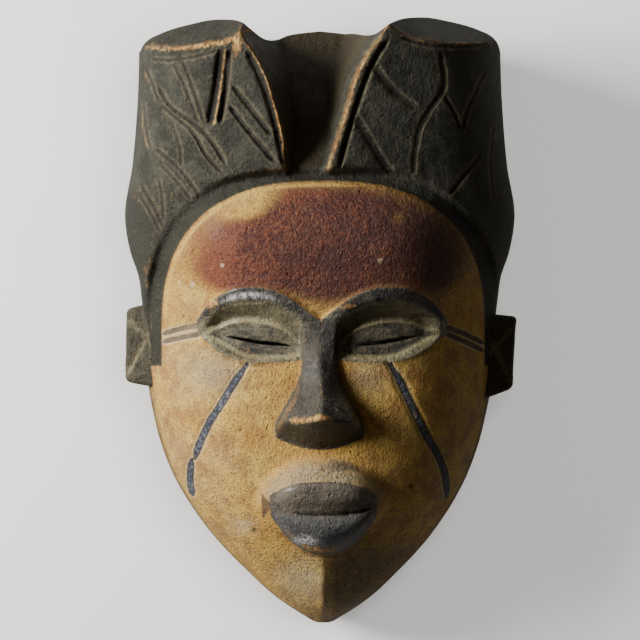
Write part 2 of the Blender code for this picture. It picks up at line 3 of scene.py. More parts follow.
import bmesh
import bpy
import numpy as np
from mathutils import Matrix, Vector, noise
from mathutils.geometry import delaunay_2d_cdt
from mathutils.kdtree import KDTree


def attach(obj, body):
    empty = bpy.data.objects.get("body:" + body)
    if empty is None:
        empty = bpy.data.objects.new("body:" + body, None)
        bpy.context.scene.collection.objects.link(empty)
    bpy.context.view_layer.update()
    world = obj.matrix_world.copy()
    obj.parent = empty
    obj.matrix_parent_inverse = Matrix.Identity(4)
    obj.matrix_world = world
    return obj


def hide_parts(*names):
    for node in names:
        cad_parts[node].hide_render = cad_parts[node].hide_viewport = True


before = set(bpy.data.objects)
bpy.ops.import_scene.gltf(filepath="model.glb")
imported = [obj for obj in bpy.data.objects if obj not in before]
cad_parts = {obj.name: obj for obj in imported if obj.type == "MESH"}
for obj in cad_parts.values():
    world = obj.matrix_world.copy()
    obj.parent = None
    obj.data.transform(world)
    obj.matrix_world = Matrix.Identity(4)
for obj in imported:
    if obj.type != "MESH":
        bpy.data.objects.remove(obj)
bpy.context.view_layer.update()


# The head. The real mask is cut from one block of a light, close-grained wood with adze and knife.
# Its plain form is a shield that is narrow at the chin, and every feature is a height above it.
# Places and widths are in parts of about 3 mm from the eyes' line, heights in steps of about 1.4 mm.
MASK_HEIGHT = 0.320
MASK_DEPTH = 0.136
CHIN_TIP = -50.65
TOP_CORNER = 43.7
HALF_WIDTH = (
    (-50.65, 0.9), (-50.3, 1.8), (-49.5, 3.1), (-48.3, 4.95), (-46.8, 7.1), (-41.8, 12.6), (-36.8, 17.3),
    (-31.8, 21.0), (-26.8, 23.9), (-21.9, 25.9), (-14.4, 27.8), (3.2, 29.4), (7.0, 29.9), (10.6, 31.1),
    (16.5, 32.05), (25.3, 30.8), (35.0, 30.0), (50.0, 29.6),
)
EDGE_HEIGHT = ((-50, 19), (-40, 23), (-20, 27), (0, 31), (20, 36), (50, 36))
CROWN_HEIGHT = (
    (-50, 27), (-49, 36), (-47.5, 45), (-45, 53), (-41, 61), (-37, 68), (-32, 74), (-26, 78), (-18, 80.5),
    (-10, 81.5), (-4, 82.5), (0, 84), (5, 87), (11, 89.5), (17, 88), (21.5, 84), (27, 77), (34, 67),
    (41, 52), (47.5, 34), (50, 30),
)
FALL_TO_SIDE = ((-50, 0.45), (-36, 0.42), (-20, 0.36), (-6, 0.40), (12, 0.46), (50, 0.46))
RIDGE_POWER = ((-50, 1.05), (-41, 1.10), (-34, 1.6), (-22, 2.0), (50, 2.0))
SIDE_POWER = ((-50, 8.0), (-36, 6.0), (-10, 5.0), (12, 4.0), (50, 4.0))


def along(stations, places):
    """Values on the smooth curve that passes through the (place, value) stations."""
    knots, values = np.array(stations, float).T
    slopes = np.gradient(values, knots)
    places = np.clip(places, knots[0], knots[-1])
    i = np.clip(np.searchsorted(knots, places, side="right") - 1, 0, len(knots) - 2)
    gap = knots[i + 1] - knots[i]
    t = (places - knots[i]) / gap
    return (
        (2 * t**3 - 3 * t**2 + 1) * values[i]
        + (t**3 - 2 * t**2 + t) * gap * slopes[i]
        + (3 * t**2 - 2 * t**3) * values[i + 1]
        + (t**3 - t**2) * gap * slopes[i + 1]
    )


def straight(stations, places):
    """Values on the straight lines between the (place, value) stations."""
    knots, values = np.array(stations, float).T
    return np.interp(places, knots, values)


def ease(t):
    """0 below 0, 1 above 1, and a smooth step between."""
    t = np.clip(t, 0, 1)
    return t * t * (3 - 2 * t)


def fade(away, reach):
    """1 on a line, falling straight to 0 at a given distance on both sides of it."""
    return np.clip(1 - np.abs(away) / reach, 0, 1)


def soft_max(a, b, blend):
    """The larger of two heights, with the inside corner between them rounded."""
    share = np.clip(0.5 + 0.5 * (a - b) / blend, 0, 1)
    return a * share + b * (1 - share) + blend * share * (1 - share)


def soft_min(a, b, blend):
    """The smaller of two heights, with the outside corner between them rounded."""
    return -soft_max(-a, -b, blend)


CHIN_LEAN = 0.6
LEAN_START = -18.0
LEAN_REACH = 32.0


def lean(y):
    """How far the lower face leans to the right, towards the chin."""
    return CHIN_LEAN * ease((LEAN_START - y) / LEAN_REACH)


def head_height(x, y):
    """Height of the plain head, before its features are cut."""
    share = np.clip(np.abs(x) / along(HALF_WIDTH, y), 0, 1)
    edge = along(EDGE_HEIGHT, y)
    slope = 1 - along(FALL_TO_SIDE, y) * share ** along(RIDGE_POWER, y)
    return edge + (along(CROWN_HEIGHT, y) - edge) * slope * np.sqrt(1 - share ** along(SIDE_POWER, y))


# The coiffure. Two tall lobes of hair stand over a deep valley, cut from the same block. Their tops
# slope away to the back, and a plain band of hair runs between them and the rounded forehead.
HAIRLINE_MIDDLE = -2.5
HAIRLINE_SHIFT = 0.6
HAIRLINE_HALF_WIDTH = 26.1
HAIRLINE_REACH = 24.2
HAIRLINE_POWER = 2.5
HAIRLINE_END = -8.0
BAND_WIDTH_TOP = 0.9
BAND_WIDTH_SIDE = 2.2
BAND_DROP = 1.5
LOBE_STEP = 1.2
STEP_WIDTH = 0.55
LOBE_STEP_WIDTH = 1.4
VALLEY_MIDDLE = ((15, -2.1), (23, -2.1), (30, -1.45), (42, -1.4), (50, -1.25))
INNER_EDGE = (
    (15, 2.6), (23, 3.2), (29.9, 4.7), (34, 5.85), (38.4, 7.15), (42, 9.05), (45.4, 11.4), (50, 13.5),
)
LOBE_RIDGE = ((15, 84), (20, 85.5), (24, 87.5), (30, 90), (40, 90.5), (50, 90))
LOBE_FALL = 0.60
LOBE_SIDE_POWER = 6.0
VALLEY_WALL_FALL = 8.0
TOP_FALL = 6.8
TOP_TILT = 0.012
TOP_FRONT_EDGE = (
    (0, 47.5), (9, 47.0), (11.5, 46.3), (12.6, 45.4), (14, 44.7), (18, 44.0), (22, 43.65), (27, 44.2),
    (29.3, 44.8),
)
TOP_BACK_EDGE = (
    (0, 47.3), (5, 46.6), (9, 45.3), (11, 46.5), (13, 47.9), (16.5, 48.7), (21, 48.15), (26, 46.6),
    (28.2, 45.35), (29.45, 43.7),
)


def outside_hairline(x, y):
    """How far a place lies outside the hairline. It is negative on the face."""
    x = x - HAIRLINE_SHIFT
    up = np.clip(y - HAIRLINE_MIDDLE, 0, None)
    level = (
        np.abs(x / HAIRLINE_HALF_WIDTH) ** HAIRLINE_POWER + (up / HAIRLINE_REACH) ** HAIRLINE_POWER
    ) ** (1 / HAIRLINE_POWER)
    return (level - 1) * np.hypot(x, up) / np.maximum(level, 1e-6)


def band_width(x):
    """Width of the plain band of hair along the hairline."""
    return BAND_WIDTH_TOP + (BAND_WIDTH_SIDE - BAND_WIDTH_TOP) * ease(np.abs(x) / 20)


def top_edge(stations, x):
    """Place of the tops' front or back edge. The right lobe stands a little higher than the left one."""
    return along(stations, np.abs(x)) + TOP_TILT * x * ease((np.abs(x) - 5) / 5)


def lobe_height(x, y, head):
    """Height of the coiffure: two lobes, the valley between them and their sloping tops."""
    across = np.abs(x - along(VALLEY_MIDDLE, y))
    inner = along(INNER_EDGE, y)
    ridge = along(LOBE_RIDGE, y)
    share = np.clip(np.abs(x) / along(HALF_WIDTH, y), 0, 1)
    edge = along(EDGE_HEIGHT, y)
    outward = np.clip(across - inner, 0, None)
    front = edge + (ridge - LOBE_FALL * outward - edge) * np.sqrt(1 - share**LOBE_SIDE_POWER)
    wall = ridge - (inner - across) * VALLEY_WALL_FALL
    lobe = soft_min(front, wall, 0.8)
    top = front - (y - top_edge(TOP_FRONT_EDGE, x)) * TOP_FALL
    lobe = soft_min(lobe, top, 1.0)
    return soft_max(head, lobe, 1.5)


# The eyes. Each brow is a raised band over a sunk socket, and the closed lid in it is a low almond
# with a thin slit, which the wearer looks through. All of it is left proud of the cheek by a rim.
LEFT_EYE_SCALE = 0.98
RIGHT_EYE_SCALE = 1.02
SLIT_HEIGHT = 0.0019
BROW_TOP_LINE = (
    (0, -0.4), (2.3, 1.45), (5.3, 3.5), (7.9, 4.6), (11.1, 5.0), (14, 4.7), (16.6, 3.5), (18.6, 1.8),
    (20.0, 0.0),
)
BROW_WIDTH = ((0, 2.0), (9, 2.1), (14, 2.1), (18, 1.6), (20, 0.9))
LID_TOP_LINE = (
    (2.4, -5.2), (3.2, -3.9), (4.2, -2.8), (6.2, -1.5), (8.8, -0.7), (11.6, -0.4), (14.3, -0.6), (16.6, -1.4),
    (19.0, -2.5),
)
SLIT_LINE = ((2.4, -5.3), (3.2, -4.8), (4.6, -4.45), (10.4, -3.75), (15.1, -2.9), (19.0, -2.5))
LID_FOOT_LINE = (
    (2.4, -5.4), (3.2, -5.6), (6, -6.0), (9.5, -6.1), (12.4, -5.6), (14.8, -4.4), (16.8, -3.3), (19.0, -2.55),
)
EYE_RIM_LINE = (
    (2.4, -6.3), (3.5, -6.5), (8.2, -6.9), (11.6, -6.8), (14.7, -6.0), (17.1, -4.7), (18.9, -3.2),
    (20.0, -2.2),
)
BROW_RISE = 1.4
SOCKET_FLOOR = -5.2
LID_RIM = -3.4
LID_MIDDLE = -2.3
SLIT_LEVEL = -2.6
LID_FOOT = -2.6
EYE_RIM_RISE = 0.7
EDGE_STEP = 0.3
EYE_INNER_END = 2.7
EYE_OUTER_END = 19.5


def eye_across(x):
    """Distance from the middle in the eyes' own scale, the same for the left eye and the right one."""
    return np.abs(x) / np.where(np.asarray(x) < 0, LEFT_EYE_SCALE, RIGHT_EYE_SCALE)


def eye_lines(u):
    """The eye's lines at a distance from the middle, from the brow down, each as (place, height)."""
    brow_top = along(BROW_TOP_LINE, u)
    brow_foot = brow_top - along(BROW_WIDTH, u)
    lid_top = along(LID_TOP_LINE, u)
    slit = along(SLIT_LINE, u)
    lid_foot = along(LID_FOOT_LINE, u)
    rim = along(EYE_RIM_LINE, u)
    inner = ease((u - EYE_INNER_END) / 0.8)
    outer = ease((EYE_OUTER_END - u) / 3.5)
    sunk = inner * outer
    band = BROW_RISE * ease((20.0 - u) / 0.8)
    return (
        (brow_top + EDGE_STEP, 0.0 * u),
        (brow_top, band),
        (brow_foot, band),
        (np.minimum(brow_foot - 0.1, lid_top + 0.35), SOCKET_FLOOR * sunk),
        (lid_top, LID_RIM * sunk),
        ((lid_top + slit) / 2, LID_MIDDLE * sunk),
        (slit, SLIT_LEVEL * sunk),
        ((slit + lid_foot) / 2, LID_MIDDLE * sunk),
        (lid_foot, LID_FOOT * sunk),
        (rim, EYE_RIM_RISE * inner * ease((20.0 - u) / 1.5)),
        (rim - EDGE_STEP, 0.0 * u),
    )


def eye_relief(x, y):
    """Height that the brows, sockets and lids add to the head."""
    lines = eye_lines(eye_across(x))
    relief = np.zeros_like(y)
    for (above, high), (below, low) in zip(lines, lines[1:]):
        gap = np.maximum(above - below, 1e-6)
        share = (above - y) / gap
        relief = np.where((share >= 0) & (share <= 1), high + (low - high) * share, relief)
    return relief * (eye_across(x) < 20.0)


# The nose. A ridge between two flat sides widens to a blunt tip, over a flat slanting underside.
# It is left standing when the cheeks are cut back, so its walls are steep and its edges crisp.
NOSE_HALF_WIDTH = (
    (-21, 6.0), (-19.2, 6.05), (-17.4, 6.3), (-15.4, 5.6), (-13, 4.4), (-10.7, 3.3), (-8.3, 2.75), (-2, 2.6),
)
NOSE_RIDGE_RISE = ((-22, 18), (-15.7, 17), (-13.5, 13), (-10, 8), (-5, 3.6), (-3, 2.2), (-1, 1.4))
NOSE_EDGE_RISE = ((-22, 10.5), (-15.7, 10), (-13.5, 7), (-10, 3.4), (-5, 1.6), (-1, 1.2))
NOSE_DRIFT = ((-21, 0.45), (-14, 0.4), (-8, 0.0), (0, 0.0))
NOSE_TOP = -1.0
NOSE_FOOT = -20.7
NOSE_FOOT_ARCH = 1.5
NOSE_WALL_FALL = 15.0
NOSE_UNDER_FALL = 3.5
NOSE_TIP_RISE = 17
NOSE_TIP_SLANT = 1.15


def nose_foot(x):
    """Where the nose's underside meets the face."""
    return NOSE_FOOT + NOSE_FOOT_ARCH * (x / along(NOSE_HALF_WIDTH, NOSE_FOOT)) ** 2


def nose_tip(x):
    """Where the nose's underside meets its ridge and sides."""
    return nose_foot(x) + (NOSE_TIP_RISE - np.abs(x) * NOSE_TIP_SLANT) / NOSE_UNDER_FALL


def with_nose(x, y, head, face):
    """The face's height with the nose on it."""
    half = along(NOSE_HALF_WIDTH, y)
    drift = along(NOSE_DRIFT, y)
    off = np.where(x > drift, (x - drift) / (half - drift), (drift - x) / (half + drift))
    ridge = along(NOSE_RIDGE_RISE, y)
    edge = along(NOSE_EDGE_RISE, y)
    top = np.where(off < 1, ridge + (edge - ridge) * off, edge - (off - 1) * half * NOSE_WALL_FALL)
    under = (y - nose_foot(x)) * NOSE_UNDER_FALL
    nose = head + np.minimum(top, under)
    return np.where(y < NOSE_TOP, np.maximum(face, nose), face)


# The mouth. A low arched muzzle carries a thin upper lip and a full lower one, and the parting
# between them is a knife cut with its ends drawn down.
MOUTH_MIDDLE = 0.4
MOUTH_HALF_WIDTH = 8.6
LIP_TOP = -26.2
LIP_TOP_BOW = 2.4
PARTING = -31.3
PARTING_BOW = 1.15
LIP_FOOT = -37.9
LIP_FOOT_BOW = 6.6
UPPER_LIP_PROFILE = ((0, 4.4), (0.14, 6.6), (0.5, 8.4), (0.85, 8.2), (1.0, 7.4), (1.06, 5.0), (1.12, 0))
LOWER_LIP_PROFILE = (
    (0, 4.4), (0.08, 6.6), (0.3, 8.6), (0.52, 8.9), (0.75, 7.6), (0.92, 5.2), (1.0, 3.4), (1.05, 0),
)
MUZZLE_CENTRE = -30.0
MUZZLE_HALF_WIDTH = 10.3
MUZZLE_REACH = 7.6
MUZZLE_RISE = 6.6
MUZZLE_END = -35.5
MUZZLE_PROFILE = ((0, 1.0), (0.5, 0.97), (0.75, 0.80), (0.9, 0.52), (1.0, 0.15), (1.08, 0))


def mouth_lines(x):
    """Share of the way to the mouth's corner, and the places of the lips' top, parting and foot."""
    share = np.abs((x - MOUTH_MIDDLE) / MOUTH_HALF_WIDTH)
    top = LIP_TOP - LIP_TOP_BOW * share**2.7
    parting = PARTING + PARTING_BOW * share**2.2
    foot = LIP_FOOT + LIP_FOOT_BOW * share**2.4
    return share, top, parting, foot


def muzzle_level(x, y):
    """0 in the middle of the muzzle, and 1 at its edge."""
    return np.hypot((x - MOUTH_MIDDLE) / MUZZLE_HALF_WIDTH, (y - MUZZLE_CENTRE) / MUZZLE_REACH)


def mouth_relief(x, y):
    """Height that the muzzle and the lips add to the head."""
    muzzle = MUZZLE_RISE * straight(MUZZLE_PROFILE, muzzle_level(x, y)) * ease((y - MUZZLE_END) / 5)
    share, top, parting, foot = mouth_lines(x)
    upper = straight(UPPER_LIP_PROFILE, (y - parting) / np.maximum(top - parting, 0.5))
    lower = straight(LOWER_LIP_PROFILE, (parting - y) / np.maximum(parting - foot, 0.5))
    ends = np.sqrt(np.clip(1 - share**4, 0, 1))
    lips = np.where(y > parting, upper, lower) * ends
    return np.maximum(muzzle, lips)


def hair_share(outside, y):
    """0 on the face, 1 on the hair, and a straight step between them."""
    return np.clip(outside / STEP_WIDTH, 0, 1) * ease((y - HAIRLINE_END) / 4)


def front_height(x, y):
    """Height of the carved front over the rim's plane."""
    head = head_height(x, y)
    face = head + np.where(y > -22, eye_relief(x, y), mouth_relief(x, y))
    face = with_nose(x, y, head, face)
    outside = outside_hairline(x, y)
    on_lobe = ease((outside - band_width(x)) / LOBE_STEP_WIDTH)
    lobe = soft_max(head + LOBE_STEP * ease((y - 3) / 6), lobe_height(x, y, head), 1.0)
    hair = (head - BAND_DROP) * (1 - on_lobe) + lobe * on_lobe
    on_hair = hair_share(outside, y)
    return face * (1 - on_hair) + hair * on_hair


# The cut lines. Hair, cheeks and temples carry lines made with a knife or a narrow gouge. The broad
# ones have a flat floor, darkened with dirt and painted shade, and rubbed lips. Each is (half width,
# depth, places along it).
HAIR_CUTS = (
    (0.62, 1.9, ((-15.6, 43.0), (-16.5, 36.6), (-17.7, 30.4))),
    (0.46, 1.7, ((-14.3, 42.9), (-15.0, 36.6), (-16.0, 30.6))),
    (0.42, 1.3, ((-13.9, 37.0), (-11.1, 33.4), (-7.4, 28.7))),
    (0.40, 1.3, ((-14.5, 33.9), (-11.1, 29.5), (-6.7, 24.3))),
    (0.58, 1.5, ((-11.7, 42.9), (-9.1, 37.4), (-7.6, 33.0), (-6.3, 27.9), (-5.3, 23.2))),
    (0.26, 0.7, ((-23.5, 41.0), (-21.4, 36.6), (-19.3, 30.6))),
    (0.26, 0.7, ((-22.0, 41.3), (-20.0, 36.0), (-18.1, 30.4))),
    (0.34, 1.0, ((-26.2, 37.6), (-23.9, 33.9), (-20.0, 31.0), (-17.9, 29.0), (-14.6, 23.9))),
    (0.30, 0.9, ((-25.4, 34.2), (-22.8, 32.0), (-20.6, 30.1), (-17.9, 25.7), (-15.0, 22.6))),
    (0.28, 0.7, ((-26.6, 27.4), (-23.5, 24.9), (-21.2, 22.3), (-18.9, 19.0))),
    (0.26, 0.6, ((-25.8, 24.9), (-23.3, 22.3), (-20.4, 18.7))),
    (0.28, 0.7, ((-29.0, 21.7), (-27.0, 18.3), (-25.1, 14.4))),
    (0.26, 0.6, ((-29.2, 19.9), (-27.4, 17.2), (-25.7, 13.7))),
    (0.24, 0.5, ((-26.0, 22.8), (-25.4, 19.6), (-25.2, 15.3))),
    (0.26, 0.6, ((-28.1, 40.4), (-27.0, 37.9), (-25.8, 34.7))),
    (0.24, 0.4, ((-28.5, 35.5), (-28.1, 30.7), (-27.1, 26.8))),
    (0.24, 0.5, ((-23.8, 31.5), (-22.5, 27.6), (-22.2, 23.9))),
    (0.24, 0.6, ((-27.4, 41.8), (-23.8, 41.3), (-18.2, 42.0), (-14.1, 43.1))),
    (0.70, 0.6, ((8.3, 40.4), (10.2, 37.7), (12.4, 35.4), (15.7, 33.1))),
    (0.70, 0.6, ((5.4, 32.2), (7.6, 28.7), (9.7, 25.3), (11.8, 22.5))),
    (0.42, 1.0, ((11.2, 44.7), (9.3, 42.0), (7.7, 38.8), (6.2, 34.7), (4.8, 30.3), (3.6, 26.0), (2.8, 22.9))),
    (0.50, 0.35, ((19.1, 43.2), (19.5, 36.2), (17.8, 33.7), (16.1, 30.8), (15.2, 26.9), (14.9, 22.2))),
    (0.26, 0.4, ((19.8, 35.6), (21.6, 32.5), (22.6, 29.9))),
    (0.36, 0.35, ((26.7, 39.8), (25.0, 36.2), (23.5, 33.0), (22.8, 29.4))),
    (0.40, 0.4, ((26.0, 26.4), (23.4, 23.2), (20.6, 19.6))),
    (0.28, 0.6, ((12.6, 44.6), (17.5, 43.4), (22.3, 43.5), (26.7, 44.0))),
    (0.24, 0.4, ((28.2, 31.5), (27.6, 25.2), (28.2, 18.8))),
)
CHEEK_STRIPES = (
    (
        (-11.6, -7.3), (-13.8, -10.5), (-15.7, -13.6), (-17.4, -16.2), (-18.8, -18.9), (-19.8, -21.3),
        (-20.2, -22.6),
    ),
    ((-20.8, -22.9), (-21.1, -25.1), (-21.2, -26.9), (-20.9, -28.8)),
    ((11.0, -7.0), (12.6, -9.6), (15.0, -14.6), (17.3, -19.1), (19.2, -22.4), (20.3, -25.6), (20.6, -29.2)),
)
STRIPE_HALF_WIDTH = 0.66
TEMPLE_HALF_WIDTH = 0.3
TEMPLE_CUTS = (
    ((-25.8, -2.6), (-21.6, -1.5), (-18.9, -1.1)),
    ((-25.8, -3.9), (-21.6, -2.95), (-18.9, -2.5)),
    ((19.7, -1.2), (23.4, -2.5), (27.0, -4.2)),
    ((19.9, -2.3), (23.3, -3.7), (27.0, -5.4)),
)


def bent(line, to_a_knot):
    """Places on the smooth curve through a line's knots, several to a knot."""
    knots = np.array(line, float)
    run = np.concatenate([[0], np.cumsum(np.hypot(*np.diff(knots, axis=0).T))])
    fine = np.linspace(0, run[-1], to_a_knot * len(knots))
    return np.stack([along(np.stack([run, knots[:, i]], axis=1), fine) for i in (0, 1)], axis=1)


def gap_to_line(x, y, line):
    """Distance from each place to a line, and the share of the line's run where it is nearest."""
    bend = bent(line, 6)
    gap = np.full(x.shape, np.inf)
    share = np.zeros(x.shape)
    for i in range(len(bend) - 1):
        step = bend[i + 1] - bend[i]
        t = np.clip(((x - bend[i, 0]) * step[0] + (y - bend[i, 1]) * step[1]) / (step @ step), 0, 1)
        here = np.hypot(x - bend[i, 0] - t * step[0], y - bend[i, 1] - t * step[1])
        share = np.where(here < gap, (i + t) / (len(bend) - 1), share)
        gap = np.minimum(gap, here)
    return gap, share


def cut_profile(gap, share, half_width, depth):
    """How deep a cut is at a place, how far the place is on its floor, and on its lips."""
    ends = ease(share / 0.08) * ease((1 - share) / 0.10)
    half = half_width * (0.45 + 0.55 * ends)
    floor = ease((half - gap) / (0.55 * half) + 0.5)
    lip = fade(gap - 1.2 * half, 0.24) * ends
    return depth * ends * floor, floor * ends, lip


# The mesh of the front. It is one sheet of small triangles whose edges follow the carved lines, with
# the two eye slits left open. The walls go down from its edge to the flat rim that the mask lies on.
OPEN_SPACING = 0.38
LINE_SPACING = 0.34
OUTLINE_SPACING = 0.42


def spaced(x, y, spacing):
    """Points at about even spacing along a line, which is given by many places on it."""
    run = np.concatenate([[0], np.cumsum(np.hypot(np.diff(x), np.diff(y)))])
    at = np.linspace(0, run[-1], max(2, round(run[-1] / spacing) + 1))
    return np.stack([np.interp(at, run, x), np.interp(at, run, y)], axis=1)


def outline():
    """The mask's outline as a closed ring of points, from the chin anticlockwise."""
    side_y = np.linspace(CHIN_TIP, TOP_CORNER, 400)
    side_x = along(HALF_WIDTH, side_y)
    right = spaced(side_x, side_y, OUTLINE_SPACING)
    left = spaced(-side_x[::-1], side_y[::-1], OUTLINE_SPACING)
    corner = side_x[-1]
    top_x = np.linspace(corner, -corner, 400)[1:-1]
    top = spaced(top_x, top_edge(TOP_BACK_EDGE, top_x), OUTLINE_SPACING)
    return np.concatenate([right, top[1:-1], left])


def hairline(offset):
    """The hairline, or the line at some distance outside it, from the left ear to the right one."""
    turn = np.linspace(0, math.pi, 200)
    x = -np.sign(np.cos(turn)) * np.abs(np.cos(turn)) ** (2 / HAIRLINE_POWER) * HAIRLINE_HALF_WIDTH
    y = HAIRLINE_MIDDLE + np.abs(np.sin(turn)) ** (2 / HAIRLINE_POWER) * HAIRLINE_REACH
    distance = offset(x) if callable(offset) else offset
    stretch = 1 + distance / np.maximum(np.hypot(x, y - HAIRLINE_MIDDLE), 1)
    y = HAIRLINE_MIDDLE + (y - HAIRLINE_MIDDLE) * stretch
    return spaced(x * stretch + HAIRLINE_SHIFT, y, LINE_SPACING * 1.7)


def eye_feature_lines(side):
    """The lines of one eye, where its surface bends."""
    scale = RIGHT_EYE_SCALE if side > 0 else LEFT_EYE_SCALE
    whole = np.linspace(0, 19.9, 120)
    within = np.linspace(EYE_INNER_END + 0.4, EYE_OUTER_END - 0.6, 120)
    bends = [(0, whole), (1, whole)] + [(i, within) for i in (2, 3, 4, 6, 8, 9, 10)]
    return [spaced(side * scale * u, eye_lines(u)[i][0], LINE_SPACING) for i, u in bends]


def nose_feature_lines():
    """The nose's ridge, its two edges with the feet of their walls, the tip's edge and the foot."""
    y = np.linspace(NOSE_FOOT + 0.6, NOSE_TOP - 0.5, 80)
    half = along(NOSE_HALF_WIDTH, y)
    drift = along(NOSE_DRIFT, y)
    x = np.linspace(-6.2, 6.2, 60)
    lines = [spaced(a, b, LINE_SPACING) for a, b in ((drift, y), (x, nose_tip(x)), (x, nose_foot(x)))]
    for side in (-1, 1):
        wall = along(NOSE_EDGE_RISE, y) / NOSE_WALL_FALL + 0.1
        lines.append(spaced(side * half, y, LINE_SPACING))
        lines.append(spaced(side * (half + wall), y, LINE_SPACING))
    return lines


def mouth_feature_lines():
    """The lips' outlines and parting, and the arch of the muzzle."""
    x = MOUTH_MIDDLE + np.linspace(-0.97, 0.97, 90) * MOUTH_HALF_WIDTH
    _, top, parting, foot = mouth_lines(x)
    upper = top - parting
    lower = parting - foot
    lines = [spaced(x, parting + upper * part, LINE_SPACING) for part in (1.0, 1.12, 0.5)]
    lines += [spaced(x, parting - lower * part, LINE_SPACING) for part in (0.0, 0.1, 0.5, 0.85, 1.0, 1.05)]
    turn = np.linspace(0.1, math.pi - 0.1, 90)
    for part in (1.06, 0.85):
        x = MOUTH_MIDDLE + MUZZLE_HALF_WIDTH * part * np.cos(turn)
        lines.append(spaced(x, MUZZLE_CENTRE + MUZZLE_REACH * part * np.sin(turn), LINE_SPACING))
    return lines


def lobe_feature_lines():
    """The lobes' inner edges, the feet of the valley's walls and the front edges of the tops."""
    lines = []
    for side in (-1, 1):
        y = np.linspace(23.6, 46.0, 80)
        middle = along(VALLEY_MIDDLE, y)
        inner = along(INNER_EDGE, y)
        deep = np.clip(along(LOBE_RIDGE, y) - along(CROWN_HEIGHT, y), 0, None) / VALLEY_WALL_FALL
        lines.append(spaced(middle + side * (inner + 0.15), y, LINE_SPACING * 1.3))
        lines.append(spaced(middle + side * (inner - 0.3), y, LINE_SPACING * 1.3))
        lines.append(spaced(middle + side * np.clip(inner - deep, 0.4, None), y, LINE_SPACING * 1.6))
        x = side * np.linspace(12.4, 28.2, 80)
        lines.append(spaced(x, top_edge(TOP_FRONT_EDGE, x), LINE_SPACING * 1.5))
        lines.append(spaced(x, top_edge(TOP_FRONT_EDGE, x) + 0.45, LINE_SPACING * 1.5))
    return lines


def ring_edges(first, count):
    """Edges that join points with running numbers into a closed ring."""
    return [(first + i, first + (i + 1) % count) for i in range(count)]


def inside_ring(ring, points):
    """Which points lie inside a closed ring."""
    inside = np.zeros(len(points), bool)
    for (ax, ay), (bx, by) in zip(ring, np.roll(ring, -1, axis=0)):
        crosses = (ay > points[:, 1]) != (by > points[:, 1])
        if by != ay:
            inside ^= crosses & (points[:, 0] < (bx - ax) * (points[:, 1] - ay) / (by - ay) + ax)
    return inside


def hexagonal(x_range, y_range, spacing):
    """A grid of points in equal triangles."""
    rows = np.arange(y_range[0], y_range[1], spacing * math.sqrt(3) / 2)
    columns = np.arange(x_range[0], x_range[1], spacing)
    shifts = [(i % 2) * spacing / 2 for i in range(len(rows))]
    return np.concatenate([
        np.stack([columns + shift, np.full(len(columns), row)], axis=1) for shift, row in zip(shifts, rows)
    ])


RING = outline()
PART = MASK_HEIGHT / np.ptp(RING[:, 1])
MIDDLE = (RING[:, 1].min() + RING[:, 1].max()) / 2
NOSE_GRID = np.meshgrid(np.linspace(-1, 1, 21), np.linspace(NOSE_FOOT, NOSE_TOP, 400))
RISE = MASK_DEPTH / front_height(*NOSE_GRID).max()


def slit_ring(side):
    """The outline of one eye slit, anticlockwise."""
    u = np.linspace(4.6, 15.1, 36)
    taper = np.interp(u, (4.6, 6.35, 8.1, 11.6, 13.35, 15.1), (0.15, 0.8, 1.0, 1.0, 0.8, 0.15))
    half = SLIT_HEIGHT / 2 / PART * taper
    line = along(SLIT_LINE, u)
    round_trip = np.concatenate([line - half, (line + half)[::-1]])
    places = np.stack([np.concatenate([u, u[::-1]]), round_trip], axis=1)
    if side < 0:
        return places[::-1] * (-LEFT_EYE_SCALE, 1)
    return places * (RIGHT_EYE_SCALE, 1)


def cut_lines():
    """Lines along every cut, on its floor, at the tops of its sides and just outside them."""
    cuts = [(half, line) for half, _, line in HAIR_CUTS]
    cuts += [(STRIPE_HALF_WIDTH, line) for line in CHEEK_STRIPES]
    cuts += [(TEMPLE_HALF_WIDTH, line) for line in TEMPLE_CUTS]
    lines = []
    for half, line in cuts:
        bend = bent(line, 8)
        course = np.gradient(bend, axis=0)
        course /= np.hypot(*course.T)[:, None]
        across = np.stack([-course[:, 1], course[:, 0]], axis=1)
        for part in (0, -0.6, 0.6, -1.05, 1.05, -1.6, 1.6):
            lines.append(spaced(*(bend + across * half * part).T, LINE_SPACING))
    return lines


def sheet(rings, lines, fill, spacing, line_gap):
    """Points and triangles of a sheet with whole rings: the first is its edge, and the rest are holes."""
    chosen = list(rings)
    edges = []
    for i, ring in enumerate(rings):
        edges += ring_edges(sum(len(part) for part in rings[:i]), len(ring))
    for line in lines:
        taken = np.concatenate(chosen)
        gaps = np.hypot(line[:, None, 0] - taken[:, 0], line[:, None, 1] - taken[:, 1]).min(axis=1)
        keep = inside_ring(rings[0], line) & (gaps > line_gap)
        for hole in rings[1:]:
            keep &= ~inside_ring(hole, line)
        places = np.cumsum(keep) - 1 + len(taken)
        edges += [(places[i], places[i + 1]) for i in range(len(line) - 1) if keep[i] and keep[i + 1]]
        chosen.append(line[keep])
    taken = np.concatenate(chosen)
    tree = KDTree(len(taken))
    for i, (x, y) in enumerate(taken):
        tree.insert((x, y, 0), i)
    tree.balance()
    fill = fill[inside_ring(rings[0], fill)]
    chosen.append(np.array([(x, y) for x, y in fill if tree.find((x, y, 0))[2] > 0.62 * spacing]))
    points = [tuple(p) for p in np.concatenate(chosen)]
    places, _, faces, first, *_ = delaunay_2d_cdt(points, edges, [], 1, 1e-6)
    places = np.array([tuple(p) for p in places])
    faces = np.array(faces)
    for hole in rings[1:]:
        faces = faces[~inside_ring(hole, places[faces].mean(axis=1))]
    came_from = {start: i for i, starts in enumerate(first) for start in starts}
    ends = np.cumsum([0] + [len(ring) for ring in rings])
    return places, faces, [[came_from[i] for i in range(a, b)] for a, b in zip(ends, ends[1:])]


